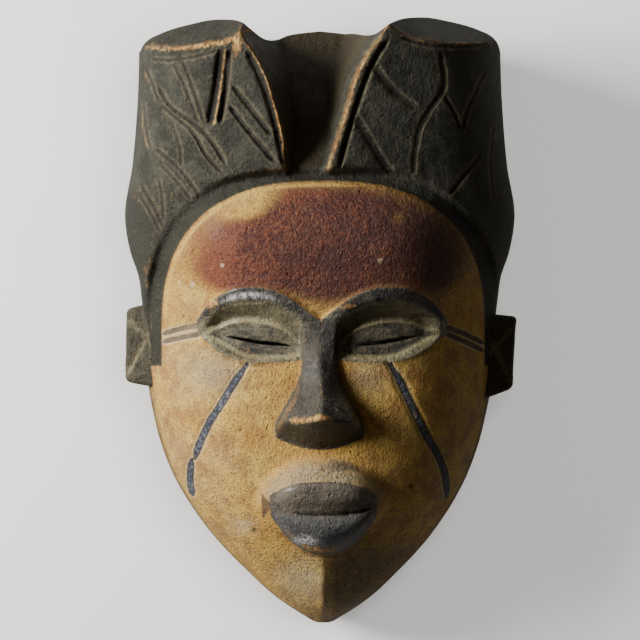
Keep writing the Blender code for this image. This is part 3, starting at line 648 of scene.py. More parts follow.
def smoothed(values, faces, rounds, fixed):
    """Values evened out between neighbouring points, as wear and paint round off an edge."""
    pairs = np.concatenate([faces[:, [0, 1]], faces[:, [1, 2]], faces[:, [2, 0]]])
    count = np.bincount(pairs.ravel(), minlength=len(values))
    values = values.copy()
    for _ in range(rounds):
        total = np.bincount(pairs[:, 0], values[pairs[:, 1]], len(values))
        total += np.bincount(pairs[:, 1], values[pairs[:, 0]], len(values))
        even = 0.5 * values + 0.5 * total / np.maximum(count, 1)
        even[fixed] = values[fixed]
        values = even
    return values


def ripple(x, y, scale, seed):
    """Slow, uneven waves, as a knife leaves them, from -1 to 1."""
    return np.array([noise.noise((a * scale, b * scale, seed)) for a, b in zip(x, y)])


GRID_REACH = ((-33, 33), (-51, 51))
FRONT_LINE_GAP = 0.13

slits = [slit_ring(-1), slit_ring(1)]
lines = [RING * part for part in (0.9965, 0.990, 0.980, 0.966, 0.95)]
lines += eye_feature_lines(-1) + eye_feature_lines(1) + nose_feature_lines() + mouth_feature_lines()
lines += lobe_feature_lines()
lines += [hairline(0.0), hairline(STEP_WIDTH), hairline(band_width)]
lines.append(hairline(lambda x: band_width(x) + LOBE_STEP_WIDTH))
lines += cut_lines()
fill = hexagonal(*GRID_REACH, OPEN_SPACING)
front_places, front_faces, (edge_ring, *slit_rings) = sheet(
    [RING, *slits], lines, fill, OPEN_SPACING, FRONT_LINE_GAP
)
px, py = front_places.T
height = smoothed(front_height(px, py), front_faces, 1, edge_ring)

half_width = along(HALF_WIDTH, py)
nose_half = along(NOSE_HALF_WIDTH, py)
inner_edge = along(INNER_EDGE, py)
valley_middle = along(VALLEY_MIDDLE, py)
across_valley = np.abs(px - valley_middle)
top_front = top_edge(TOP_FRONT_EDGE, px)
outside = outside_hairline(px, py)
on_hair = hair_share(outside, py)
mouth_share, lip_top, parting, lip_foot = mouth_lines(px)
u = eye_across(px)
_, brow_top, brow_foot, _, lid_top, _, _, _, lid_foot, eye_rim, _ = (place for place, _ in eye_lines(u))

# The hair cuts go into the coiffure, with small burred lips, and the stripes' and temples' edges are
# scored more lightly.
BURR = 0.22
TEMPLE_PAINT = 0.46

cut_depth, cut_floor, cut_lip, score = np.zeros((4, len(px)))
stripe_in, temple_in = np.full((2, len(px)), -9.0)
for half, depth, line in HAIR_CUTS:
    gap, share = gap_to_line(px, py, line)
    down, floor, lip = cut_profile(gap, share, half, depth)
    cut_depth = np.maximum(cut_depth, down)
    # A cut's floor is darkened more the deeper it is: dirt and painted shade.
    cut_floor = np.maximum(cut_floor, floor * min(1.0, 0.15 + 0.5 * depth))
    side_share = np.where(px > 0, 1.0, 0.42 + 0.28 * depth)
    cut_lip = np.maximum(cut_lip, lip * np.minimum(1.0, side_share))
for line in CHEEK_STRIPES:
    gap, share = gap_to_line(px, py, line)
    half = STRIPE_HALF_WIDTH * (0.55 + 0.45 * ease(share / 0.15) * ease((1 - share) / 0.08))
    stripe_in = np.maximum(stripe_in, half - gap)
    score = np.maximum(score, 0.30 * ease((half - gap) / 0.25 + 0.5))
    score = np.maximum(score, 0.75 * fade(gap - half, 0.2))
for line in TEMPLE_CUTS:
    gap, share = gap_to_line(px, py, line)
    ends = ease(share / 0.1) * ease((1 - share) / 0.1)
    temple_in = np.maximum(temple_in, TEMPLE_PAINT * ends - gap)
    score = np.maximum(score, 0.8 * ease((0.5 - gap) / 0.3 + 0.3) * ends)
burr = BURR * cut_lip * (1 - cut_floor)

# The eyes' finer cuts are a ring around each lid, the lens sunk inside it, a line under the rim and one
# under the brow. The parting of the lips is one more, and the valley between the lobes is gouged. The
# knife's waves are given as size, scale and seed.
KNIFE_WAVES = ((0.34, 0.16, 3.0), (0.14, 0.55, 8.0), (0.05, 1.7, 5.0))

along_eye = ease((u - 2.8) / 1.2) * ease((19.4 - u) / 1.5)
lid_ring = np.minimum(np.abs(py - lid_top - 0.12), np.abs(py - lid_foot + 0.18))
ring_ridge = 0.75 * fade(lid_ring, 0.38) * along_eye
lens_gap = np.minimum(lid_top - 0.45 - py, py - lid_foot - 0.35)
lens_sunk = 0.8 * ease(lens_gap / 0.5 + 0.4) * along_eye * ease((18.4 - u) / 2)
under_rim = 0.9 * fade(py - eye_rim + 0.55, 0.32) * along_eye * ease((u - 6) / 4) * (px < 0)
brow_cut = 0.8 * fade(py - brow_foot + 0.1, 0.28) * along_eye
lid_relief = np.where(py > -9, ring_ridge - lens_sunk - under_rim - brow_cut, 0.0)
# The line under the left eye's rim is darkened as a painted shadow.
cut_floor = np.maximum(cut_floor, 0.8 * under_rim * (py > -9))
parting_gap = np.abs(py - parting) / 0.19
parting_ends = ease((0.93 - mouth_share) / 0.15) * ease((px + 5.0) / 2.0)
parting_cut = 1.1 * fade(parting_gap, 1.0) * parting_ends
knife_waves = sum(size * ripple(px, py, scale, seed) for size, scale, seed in KNIFE_WAVES)
valley = ease((inner_edge - across_valley) / 1.5) * ease((py - 22) / 4)
gouges = -0.9 * valley * np.abs(ripple(px, py * 0.16, 1.1, 2.0))
height = height - cut_depth + burr - score + gouges + lid_relief - parting_cut + knife_waves * (1 + on_hair)
height[edge_ring] = smoothed(front_height(px, py), front_faces, 0, edge_ring)[edge_ring]

# How each place of the front is painted and rubbed, and where light and shade are painted on: signed
# distances from the paint's edges, in parts, and shares of wear. The finish further down reads them. A spot
# is given as its strength, its place, its half width and its half height, and a fleck or a chip as its place
# and its size.
EYE_PAINT_END = 20.1
RED_MIDDLE = (1.0, 12.5)
RED_REACH = (24.5, 10.5)
RED_SPOTS = (
    (-1.3, -12.4, 18.6, 4.2, 2.6), (-0.38, 12.3, 15.6, 1.7, 1.7), (0.50, -15.5, 6.6, 5.5, 3.2),
    (0.30, 1.0, 4.6, 4.5, 3.0), (0.45, 19.5, 6.0, 5.5, 5.0),
)
ASH_SPOTS = ((0.9, -3.0, -42.5, 4.5, 4.5), (0.9, -17.5, -8.5, 4.5, 3.5), (0.6, 7.6, -9.5, 2.6, 3.5))
JAW_SPOT = (0.85, -12.7, -33.6, 4.5, 3.6)
PALE_FLECKS = ((-20.4, 5.5, 0.55), (-22.6, 5.8, 0.4), (-15.6, 8.5, 0.45), (9.6, 9.2, 0.5))
CHIPS = ((-10.8, -34.2, 0.45), (-12.7, -17.8, 0.35), (-22.0, 0.4, 0.3), (14.5, -27.0, 0.3))
PAIR_RIDGE = ((-14.95, 42.6), (-15.75, 36.6), (-16.8, 30.9))
WEAR_END = 28.4


def spot(strength, x, y, half_wide, half_high):
    """A soft oval spot."""
    return strength * np.exp(-(((px - x) / half_wide) ** 2) - ((py - y) / half_high) ** 2)


def oval(strength, x, y, half_wide, half_high):
    """Signed distance into an oval, the strength in its middle and falling evenly outwards."""
    return strength - np.hypot((px - x) / half_wide, (py - y) / half_high)


def light_line(strength, away, reach, where=True):
    """A light line, for wear and for a painted highlight: its strength on the line, falling evenly on both
    sides, and -1 where there is none.
    """
    return np.where(where, strength - np.abs(away) / reach, -1.0)


eye_in = np.minimum.reduce([brow_top - py, py - eye_rim + 0.25, (EYE_PAINT_END - u) * 0.8])
brow_in = np.minimum.reduce([brow_top - py, py - brow_foot, (EYE_PAINT_END - u) * 0.8])
lens_in = np.minimum(lens_gap, np.minimum(u - 3.6, 18.0 - u) * 0.5)
wall = straight(NOSE_EDGE_RISE, py) / NOSE_WALL_FALL + 0.2
nose_in = np.minimum.reduce([nose_half + wall - np.abs(px), py - nose_foot(px) + 0.3, NOSE_TOP + 1 - py])
lip_in = np.minimum(np.where(py > parting, lip_top + 0.25 - py, py - lip_foot + 0.1), (1.0 - mouth_share) * 5)
smudge_in = 1.3 - np.hypot((px - 3.4) / 3.2, (py + 23.5 + 0.06 * (px - 3.0) ** 2) / 0.9)
ashy = np.clip((1.08 - muzzle_level(px, py)) / 0.25, 0, 1) * ease((py + 31) / 3)
ashy = np.maximum.reduce([ashy, *(spot(*one) for one in ASH_SPOTS)])
rim_gap = np.clip(1 - np.abs(px) / half_width, 0, 1) * half_width
# Painted shade: the right side of the chin is darkened as if in shadow, on top of the grime along the
# outline.
chin_painted_shade = ease((px - 0.2) / 2.2) * ease((-31 - py) / 9)
edge_grime_and_shade = np.maximum(fade(rim_gap, 1.3) * (py < 43), 0.62 * chin_painted_shade)
sunk = np.clip(eye_in + 0.4, 0, 0.4) / 0.4 * (1 - np.clip(brow_in + 0.2, 0, 0.4) / 0.4)
ring_rub = np.clip(1.25 - lid_ring / 0.36, 0, 1) * along_eye
rubbed = np.where(lens_in > 0, 0.18, 0.38) * sunk * (nose_in < 0) + 0.8 * ring_rub * (eye_in > -0.5)
hair_in = np.where(py > HAIRLINE_END, np.minimum(outside, (py - HAIRLINE_END) * 0.7), -9.0)
red_in = 1 - ((px - RED_MIDDLE[0]) / RED_REACH[0]) ** 2 - np.abs((py - RED_MIDDLE[1]) / RED_REACH[1]) ** 2
for one in RED_SPOTS:
    red_in += spot(*one)
pale_in = np.zeros(len(px))
for x, y, size in PALE_FLECKS:
    pale_in = np.maximum(pale_in, 1.6 - np.hypot(px - x, py - y) / size)
pale_in = np.maximum(pale_in, spot(*JAW_SPOT))
border = light_line(0.75, outside + 0.45, 0.8) * ease((py + 4) / 6) - 0.7 * ease((px - 2) / 8)
# Painted highlight: a bright grey band along the left brow and a small spot on the lower lip, laid on as
# colour where the wax shines.
painted_highlight = np.clip(1.5 - np.abs(px + 11.6) / 3.6, 0, 1) * np.clip(1.4 - np.abs(py - brow_top + 1.3) / 0.45, 0, 1)
painted_highlight = np.maximum(painted_highlight, np.clip(oval(1.4, -2.6, -35.6, 1.7, 0.9), 0, 1))
on_nose = nose_in > 0
nose_rub = ease((0.7 - px) / 0.9) * on_nose * ease((-1.0 - py) / 2.0) * (py > nose_tip(px))
nose_rub = np.where(on_nose & (py <= nose_tip(px)), 0.35, nose_rub)

# The worn edges: the lobes' edges and corners, the nose, the lower lip, the lids and the brows, and a painted
# highlight along the nose's left wall.
front_edge = light_line(1.05, py - top_front + 0.30, 0.75) - 0.30 * ease((-19 - px) / 7)
front_edge = np.where((np.abs(px) > 9.5) & (np.abs(px) < 28.6), front_edge, -1.0)
left = px < 0
wear_and_highlight_in = np.maximum.reduce([
    light_line(0.85, across_valley - inner_edge - 0.1, 0.5) * ease((py - 22.6) / 1.5) * (py < top_front + 0.2),
    np.where(px > 0, front_edge - 0.45, front_edge),
    1.15 - np.hypot((px + 13.1 - 0.2 * (py - 43.6)) / 1.0, (py - 43.6) / 2.6),
    light_line(1.15, py - nose_tip(px) - 0.3, 0.8, on_nose) - np.clip(np.abs(px + 1.5) - 2.8, 0, 2),
    light_line(1.3, py - lip_foot - 0.75, 0.60) - np.clip(np.abs(px + 0.4) - 2.0, 0, 4) * 0.5,
    light_line(0.55, lid_ring, 0.4, (u > 4) & (u < 18) & left),
    oval(1.15, -17.2, 2.4, 1.4, 1.0),
    oval(0.9, 4.6, 2.0, 2.6, 0.8),
    light_line(0.60, px - 0.2, 0.42, on_nose & (py > -14.5)),
    # Painted highlight: a light line along the nose's left wall, which faces the light.
    light_line(0.55, px + nose_half + 0.25, 0.34, left & (py < -4) & (py > -18.5)),
    light_line(0.45, py - nose_foot(px) - 0.1, 0.4, (px < 1) & (py < -17)),
    light_line(0.50, py - brow_foot - 0.1, 0.34, left & (u > 6) & (u < 16)),
    light_line(0.85, gap_to_line(px, py, PAIR_RIDGE)[0], 0.45),
])
wear_and_highlight_in = np.where(np.abs(px) > WEAR_END, -1.0, wear_and_highlight_in)

# A chipped corner on the left of the lower lip, and a few small dents.
corner_chip = np.minimum.reduce([px + 9.5, (-7.7 - px) + 0.65 * (py + 29.9), (-7.7 - px) - 0.9 * (py + 29.9)])
height -= 0.8 * ease(corner_chip / 0.4 + 0.3)
for x, y, size in CHIPS:
    dent = ease(1.3 - np.hypot((px - x) / size, (py - y) / size / 1.25))
    height -= 0.9 * dent
    cut_floor = np.maximum(cut_floor, dent)
low_hair = 0.6 * ease((-20 - px) / 5) * ease((24 - py) / 7)
proud = height - smoothed(height, front_faces, 6, edge_ring)
proud = np.minimum(proud, 0) + np.maximum(proud, 0) * ease((rim_gap - 0.5) / 1.5)
front = {
    "hair_in": hair_in,
    "dark_in": np.maximum.reduce([eye_in, nose_in, lip_in]),
    "stripe_in": stripe_in,
    "temple_in": temple_in,
    "red_in": red_in,
    "rubbed": np.clip(rubbed, 0, 1),
    "wear_and_highlight_in": np.clip(wear_and_highlight_in, -1, 2),
    "pale_in": pale_in,
    "border_in": border,
    "cut_dirt_and_shade": cut_floor,
    "proud": proud,
    "smudge_in": smudge_in,
    "valley_brown_and_fill_light": valley * ease((inner_edge - 1.0 - px + valley_middle) / 1.5),
    "nose_rub": nose_rub,
    "lip_in": lip_in,
    "lip_low": np.clip((parting - py) / 1.2, 0, 1),
    "cut_lip": cut_lip * (1 - cut_floor),
    "chip_in": corner_chip,
    "red_rub_and_lit_side": ease((-6 - px) / 14),
    "painted_highlight_in": painted_highlight,
    "band_in": np.maximum(np.minimum(outside, band_width(px) + 0.5 - outside), low_hair),
    "ashy": ashy,
    "edge_grime_and_shade": edge_grime_and_shade,
    "parting_shade": fade(parting_gap, 1.3) * (lip_in > 0) * parting_ends,
}

# The hollow. The back is cut out with a round gouge to a shell about 18 mm thick, bare inside, and its
# rim is left flat, so the mask can lie down or hang against a wall.
RIM_WIDTH = 0.0125
SHELL_THICKNESS = 0.018
RIM_NARROWING = 0.05
HOLLOW_TOP = 38.0
HOLLOW_SHOULDER = 6.0
HOLLOW_HALF_WIDTH = 24.0
HOLLOW_POWER = 2.4
HOLLOW_SPACING = 0.75
HOLLOW_LINE_GAP = 0.05
RIM_SPACING = 0.9


def hollow_half_width(y):
    """Half width of the hollow at the rim: a rim's width inside the jaw, and an arch inside the hair."""
    inward = 1 - RIM_NARROWING
    at = MIDDLE + (y - MIDDLE) / inward
    slope = (along(HALF_WIDTH, at + 1) - along(HALF_WIDTH, at - 1)) / 2
    inside_jaw = along(HALF_WIDTH, at) * inward - RIM_WIDTH / PART * np.hypot(1, slope)
    up = np.clip(y - HOLLOW_SHOULDER, 0, None) / (HOLLOW_TOP - HOLLOW_SHOULDER)
    arch = HOLLOW_HALF_WIDTH * np.clip(1 - up**HOLLOW_POWER, 0, 1) ** (1 / HOLLOW_POWER)
    return np.clip(np.minimum(inside_jaw, arch), 0, None)


def gouge_marks(x, y):
    """Rows of shallow scoops with soft ridges between them."""
    marks = [noise.voronoi((a * 0.42, b * 0.20, 4.0))[0][0] for a, b in zip(x, y)]
    return 0.8 * (0.4 - np.array(marks))


least = RIM_WIDTH / PART / 3
low = next(y for y in np.arange(-50, 0, 0.1) if hollow_half_width(y) > least)
middle = (low + HOLLOW_TOP) / 2
reach = (HOLLOW_TOP - low) / 2
turn = np.linspace(-math.pi / 2, math.pi / 2, 90)
row_y = middle + reach * np.sin(turn) * 0.9999
row_half = np.maximum(hollow_half_width(row_y), least)
side = np.stack([row_half, row_y], axis=1)
ends = np.linspace(-0.8, 0.8, 5)[:, None]
top_end = np.stack([-ends[:, 0] * row_half[-1], np.full(5, row_y[-1])], axis=1)
foot_end = np.stack([ends[:, 0] * row_half[0], np.full(5, row_y[0])], axis=1)
hollow_ring = np.concatenate([side, top_end, side[::-1] * (-1, 1), foot_end])
back_ring = RING * (1 - RIM_NARROWING)
back_ring[:, 1] += MIDDLE * RIM_NARROWING
rows = [
    np.stack([half * np.sin(np.linspace(-1.5, 1.5, 44)), np.full(44, y)], axis=1)
    for y, half in zip(row_y[2:-2], row_half[2:-2])
]
dome = np.concatenate(rows)
rim_fill = hexagonal(*GRID_REACH, RIM_SPACING)
rim_fill = rim_fill[~inside_ring(hollow_ring, rim_fill)]
back_lines = [np.concatenate([hollow_ring, hollow_ring[:1]])]
back_places, back_faces, (back_edge, *back_slits) = sheet(
    [back_ring, *slits], back_lines, np.concatenate([dome, rim_fill]), HOLLOW_SPACING, HOLLOW_LINE_GAP
)
bx, by = back_places.T
turned = np.clip((by - middle) / reach, -1, 1)
ceiling = (along(CROWN_HEIGHT, by) - SHELL_THICKNESS / RISE) * (1 - turned**2) ** 0.225
off = np.clip(np.abs(bx) / np.maximum(hollow_half_width(by), least), 0, 1)
dome_height = np.maximum(ceiling, 0) * (1 - off**2) ** 0.4
within = inside_ring(hollow_ring * 0.9995, back_places)
back_height = np.where(within, dome_height + gouge_marks(bx, by) * ease(dome_height / 12), 0.0)


def in_metres(x, y, z):
    """Points of the carving, in metres from the mask's origin."""
    return np.stack([(x + lean(y)) * PART, (y - MIDDLE) * PART, z * RISE], axis=1)


# The shell. Front, walls, back and the sides of the slits are joined point to point, so the mesh is
# one closed skin. The walls are smooth and painted like the front's edge, without its cuts and wear.
WALL_STEPS = (0.06, 0.16, 0.3, 0.46, 0.64, 0.82)
WALL_WOBBLE = 0.0003
WALL_FINISH = {"wear_and_highlight_in": -1.0, "cut_dirt_and_shade": 0.0, "cut_lip": 0.0, "proud": 0.0, "painted_highlight_in": 0.0, "pale_in": 0.0}
front_points = in_metres(px, py, height)
back_points = in_metres(bx, by, back_height)
points = [front_points, back_points]
faces = [tuple(face) for face in front_faces]
faces += [(a + len(px), c + len(px), b + len(px)) for a, b, c in back_faces]
bare = [False] * len(front_faces) + [True] * len(back_faces)
finish = {name: [values, np.full(len(bx), -1.0)] for name, values in front.items()}
count = len(px) + len(bx)


def join_rings(upper, lower, is_bare):
    """Faces between two rings of as many points each."""
    for i in range(len(upper)):
        j = (i + 1) % len(upper)
        faces.append((upper[i], lower[i], lower[j], upper[j]))
        bare.append(is_bare)


above = list(edge_ring)
top_line = front_points[edge_ring]
for step in WALL_STEPS:
    inward = 1 - RIM_NARROWING * step**2
    row = top_line * (inward, inward, 1 - step)
    bumps = ripple(top_line[:, 0] * 60, row[:, 2] * 60 + top_line[:, 1] * 60, 0.5, 6.0) * WALL_WOBBLE
    row[:, :2] *= 1 + (bumps / np.hypot(row[:, 0], row[:, 1]))[:, None]
    points.append(row)
    for name, values in front.items():
        if name in WALL_FINISH:
            values = np.full(len(px), WALL_FINISH[name])
        finish[name].append(values[edge_ring])
    below = list(range(count, count + len(row)))
    count += len(row)
    join_rings(above, below, False)
    above = below
join_rings(above, [i + len(px) for i in back_edge], False)
for front_slit, back_slit in zip(slit_rings, back_slits):
    join_rings([i + len(px) for i in back_slit], front_slit, True)


# The ears. Each is a plain block that stands out from the side of the head under the hair, cut from
# the same wood, with two crossed knife cuts on its face. The wobble of its surface is seeded.
EAR_BEVEL = 0.0025
EAR_SIZE = (7.6, 12.0, 21.0)
EAR_LEVEL = 32.0
LEFT_EAR = (-27.2, -4.35)
RIGHT_EAR = (27.4, -6.1)
EAR_TURN = math.radians(14)
LEFT_EAR_SLANT = (0.02, 0.0)
RIGHT_EAR_SLANT = (0.06, 0.15)
EAR_SUNK_END = 1.24
EAR_CUTS = (((-3.6, 4.4), (-0.3, 1.05), (3.4, -2.2)), ((-3.5, -5.0), (-0.3, 1.05), (2.7, 5.2)))
EAR_CELLS = 34
EAR_CUT_HALF_WIDTH = 0.30
EAR_CUT_DEPTH = 0.0007
EAR_WOBBLE = 0.0004
EAR_WOBBLE_SCALE = 120
EAR_SEED = 3
EAR_WITHOUT = (
    "cut_dirt_and_shade", "proud", "rubbed", "pale_in", "valley_brown_and_fill_light", "ashy", "edge_grime_and_shade", "parting_shade", "red_rub_and_lit_side",
    "painted_highlight_in", "nose_rub", "lip_low",
)


def ear_block(centre, slant, side):
    """Points, faces and finish of one block ear with rounded edges and its crossed cuts."""
    block = bmesh.new()
    bmesh.ops.create_cube(block, size=1.0)
    bmesh.ops.subdivide_edges(block, edges=block.edges[:], cuts=EAR_CELLS, use_grid_fill=True)
    size = np.array([EAR_SIZE[0] * PART, EAR_SIZE[1] * PART, EAR_SIZE[2] * RISE])
    unit = np.array([v.co for v in block.verts])
    ear_faces = [tuple(v.index for v in face.verts) for face in block.faces]
    block.free()
    full = unit * size
    core = np.clip(full, -(size / 2 - EAR_BEVEL), size / 2 - EAR_BEVEL)
    out = full - core
    length = np.linalg.norm(out, axis=1, keepdims=True)
    full = np.where(length > 0, core + out / np.maximum(length, 1e-9) * np.minimum(length, EAR_BEVEL), full)
    taller = 1 + (EAR_SUNK_END - 1) * (0.5 - unit[:, 0] * side)
    face_x = -side * full[:, 0] / PART
    face_y = full[:, 1] / PART
    floor = np.zeros(len(full))
    lips = np.zeros(len(full))
    for line in EAR_CUTS:
        gap, share = gap_to_line(face_x, face_y, line)
        _, here, lip = cut_profile(gap, share, EAR_CUT_HALF_WIDTH, 1.0)
        floor = np.maximum(floor, here)
        lips = np.maximum(lips, lip)
    on_face = ease((unit[:, 2] - 0.3) / 0.15)
    full[:, 2] -= EAR_CUT_DEPTH * floor * on_face
    full[:, 1] *= taller
    full[:, :2] += full[:, 1::-1] * slant
    full += EAR_WOBBLE * np.array([noise.noise_vector(Vector(p) * EAR_WOBBLE_SCALE) for p in full])
    turn = Matrix.Rotation(side * EAR_TURN, 3, "Y")
    place = in_metres(np.array([centre[0]]), np.array([centre[1]]), np.array([EAR_LEVEL]))[0]
    values = {name: np.full(len(full), 0.0 if name in EAR_WITHOUT else -1.0) for name in front}
    values["hair_in"] = np.full(len(full), 3.0)
    values["wear_and_highlight_in"] = 0.5 * (1 - np.abs(length[:, 0] / EAR_BEVEL - 1.6)) - 0.45
    values["cut_lip"] = np.clip(0.22 + (0.4 * lips + 1.0 * floor) * on_face, 0, 1)
    return full @ np.array(turn).T + place, ear_faces, values


noise.seed_set(EAR_SEED)
for centre, slant, side in ((LEFT_EAR, LEFT_EAR_SLANT, -1), (RIGHT_EAR, RIGHT_EAR_SLANT, 1)):
    ear_points, ear_faces, values = ear_block(centre, slant, side)
    points.append(ear_points)
    faces += [tuple(i + count for i in face) for face in ear_faces]
    bare += [False] * len(ear_faces)
    for name in front:
        finish[name].append(values[name])
    count += len(ear_points)

mesh = bpy.data.meshes.new("mask_wood")
mesh.from_pydata(np.concatenate(points).tolist(), [], faces)
mesh.shade_smooth()
for name, parts in finish.items():
    layer = mesh.attributes.new(name, "FLOAT", "POINT")
    layer.data.foreach_set("value", np.concatenate(parts).astype(np.float32))
mesh.polygons.foreach_set("material_index", np.array(bare, np.int32))
mask = bpy.data.objects.new("mask_wood", mesh)
bpy.context.scene.collection.objects.link(mask)
for obj in bpy.context.selected_objects:
    obj.select_set(False)
mask.select_set(True)
bpy.context.view_layer.objects.active = mask
bpy.ops.object.mode_set(mode="EDIT")
bpy.ops.mesh.select_all(action="SELECT")
bpy.ops.mesh.normals_make_consistent(inside=False)
bpy.ops.object.mode_set(mode="OBJECT")


# The wood's own texture. It shows through all of the thin, rubbed paint: upright fibres, slow blotches
# of grime and wax, fine pits, and the small waves of the knife.
def add(kind, inputs=None, **settings):
    """A shader node with its settings and its inputs, which are values or other nodes' outputs."""
    made = tree.nodes.new("ShaderNode" + kind)
    for name, value in settings.items():
        setattr(made, name, value)
    for name, value in (inputs or {}).items():
        if isinstance(value, bpy.types.NodeSocket):
            tree.links.new(value, made.inputs[name])
        else:
            made.inputs[name].default_value = value
    return made


def sum_of(a, b, share=1.0):
    """One value plus a share of another."""
    return add("Math", {0: b, 1: share, 2: a}, operation="MULTIPLY_ADD").outputs[0]


def times(a, b):
    """The product of two values."""
    return add("Math", {0: a, 1: b}, operation="MULTIPLY").outputs[0]


def spread(value, low, high, to_low=0.0, to_high=1.0):
    """A value eased from to_low to to_high while it goes from low to high."""
    inputs = {"Value": value, "From Min": low, "From Max": high, "To Min": to_low, "To Max": to_high}
    return add("MapRange", inputs, interpolation_type="SMOOTHSTEP").outputs["Result"]


def mixed(a, b, share, low, high, to_low=0.0, to_high=1.0):
    """One noise plus a share of another, eased as spread does."""
    return spread(sum_of(a, b, share), low, high, to_low, to_high)


def laid_over(below, above, mask, share=1.0):
    """One colour laid over another where the mask is 1, wholly or as a share."""
    if share < 1:
        mask = times(mask, share)
    return add("Mix", {0: mask, 6: below, 7: above}, data_type="RGBA").outputs[2]


def stain(vector, scale, detail, roughness):
    """Soft noise of about a given size."""
    inputs = {"Vector": vector, "Scale": scale, "Detail": detail, "Roughness": roughness}
    return add("TexNoise", inputs).outputs[0]


def stretched(scale):
    """The mask's own places, stretched along an axis."""
    return add("Mapping", {"Vector": add("TexCoord").outputs["Object"], "Scale": scale}).outputs["Vector"]


TEXTURE_OUTPUTS = ("Blotch", "Mottle", "Fine", "Speck", "Fibre", "Height")

tree = bpy.data.node_groups.new("wood_texture", "ShaderNodeTree")
texture = tree
for name in TEXTURE_OUTPUTS:
    texture.interface.new_socket(name, in_out="OUTPUT", socket_type="NodeSocketFloat")
place = add("TexCoord").outputs["Object"]
blotch = stain(place, 24.0, 4.0, 0.55)
mottle = stain(place, 90.0, 6.0, 0.62)
fine = stain(place, 480.0, 5.0, 0.68)
speck = stain(place, 1150.0, 3.0, 0.6)
fibre = stain(stretched((1.0, 0.13, 1.0)), 760.0, 4.0, 0.6)
pit = add("TexVoronoi", {"Vector": place, "Scale": 210.0, "Randomness": 1.0}).outputs["Distance"]
pits = times(spread(pit, 0.06, 0.20, 1.0, 0.0), spread(mottle, 0.50, 0.62))
waves = times(fibre, 0.22)
for noise_value, share in ((mottle, 0.7), (fine, 0.9), (speck, 0.42), (pits, -0.7)):
    waves = sum_of(waves, noise_value, share)
end = texture.nodes.new("NodeGroupOutput")
for name, socket in zip(TEXTURE_OUTPUTS, (blotch, mottle, fine, speck, fibre, waves)):
    texture.links.new(socket, end.inputs[name])


def wooden(name):
    """A new material with the wood's texture in it: the material, its nodes and the texture's outputs."""
    material = bpy.data.materials.new(name)
    material.use_nodes = True
    grain = material.node_tree.nodes.new("ShaderNodeGroup")
    grain.node_tree = texture
    return material, material.node_tree, grain.outputs


def join_finish(colour, rough, wave_height, strength):
    """The material's shader with its colour, its roughness and the wood's waves, in metres, joined on."""
    shader = tree.nodes["Principled BSDF"]
    relief = add("Bump", {"Height": waves, "Distance": wave_height, "Strength": strength})
    tree.links.new(colour, shader.inputs["Base Color"])
    tree.links.new(rough, shader.inputs["Roughness"])
    tree.links.new(relief.outputs["Normal"], shader.inputs["Normal"])
    return shader


# The painted finish. Ochre on the face, red earth on the forehead, and black on hair, brows, eyes, nose
# and lips are rubbed into the wood by hand, waxed by handling, and worn to the wood along the edges.
OCHRE_LIGHT = (0.61, 0.39, 0.085, 1.0)
OCHRE_DEEP = (0.36, 0.19, 0.048, 1.0)
OCHRE_ORANGE = (0.50, 0.245, 0.036, 1.0)
OCHRE_GRIME = (0.15, 0.078, 0.026, 1.0)
OCHRE_CHALK = (0.62, 0.48, 0.29, 1.0)
ASH_GREY = (0.37, 0.31, 0.19, 1.0)
RED_EARTH = (0.052, 0.011, 0.007, 1.0)
RED_RUBBED = (0.19, 0.056, 0.024, 1.0)
RED_FLECK = (0.36, 0.20, 0.12, 1.0)
BLACK_PAINT = (0.024, 0.020, 0.016, 1.0)
BLACK_GREY = (0.072, 0.064, 0.050, 1.0)
PAINTED_HIGHLIGHT_GREY = (0.72, 0.68, 0.66, 1.0)
NOSE_GREY = (0.072, 0.063, 0.046, 1.0)
LIP_BROWN = (0.145, 0.118, 0.084, 1.0)
LIP_SLATE = (0.078, 0.078, 0.078, 1.0)
SOCKET_OLIVE = (0.31, 0.26, 0.135, 1.0)
HAIR_DARK = (0.020, 0.018, 0.010, 1.0)
HAIR_GREY = (0.053, 0.050, 0.032, 1.0)
HAIR_RUBBED = (0.21, 0.17, 0.095, 1.0)
SLATE = (0.036, 0.039, 0.052, 1.0)
SLATE_RUBBED = (0.125, 0.13, 0.155, 1.0)
TEMPLE_BROWN_AND_SHADE = (0.10, 0.075, 0.050, 1.0)
GROOVE_DIRT_AND_SHADE = (0.012, 0.009, 0.005, 1.0)
JAW_GRIME_AND_SHADE = (0.066, 0.040, 0.010, 1.0)
CHIP_BROWN = (0.095, 0.056, 0.024, 1.0)
VALLEY_BROWN_AND_FILL_LIGHT = (0.065, 0.046, 0.016, 1.0)
BARE_TAN = (0.50, 0.24, 0.06, 1.0)
BARE_CREAM = (0.62, 0.39, 0.125, 1.0)

painted, tree, (blotch, mottle, fine, speck, fibre, waves) = wooden("painted_wood")
level_fibre = stain(stretched((0.16, 1.0, 1.0)), 620.0, 3.0, 0.6)


def layer(name):
    """One of the signed distances or shares that the mesh carries."""
    return add("Attribute", attribute_name=name).outputs["Fac"]


def ragged(value, amount, low, high):
    """A paint's edge, made uneven by the fine texture."""
    return spread(sum_of(value, sum_of(fine, -0.5, 1.0), amount), low, high)


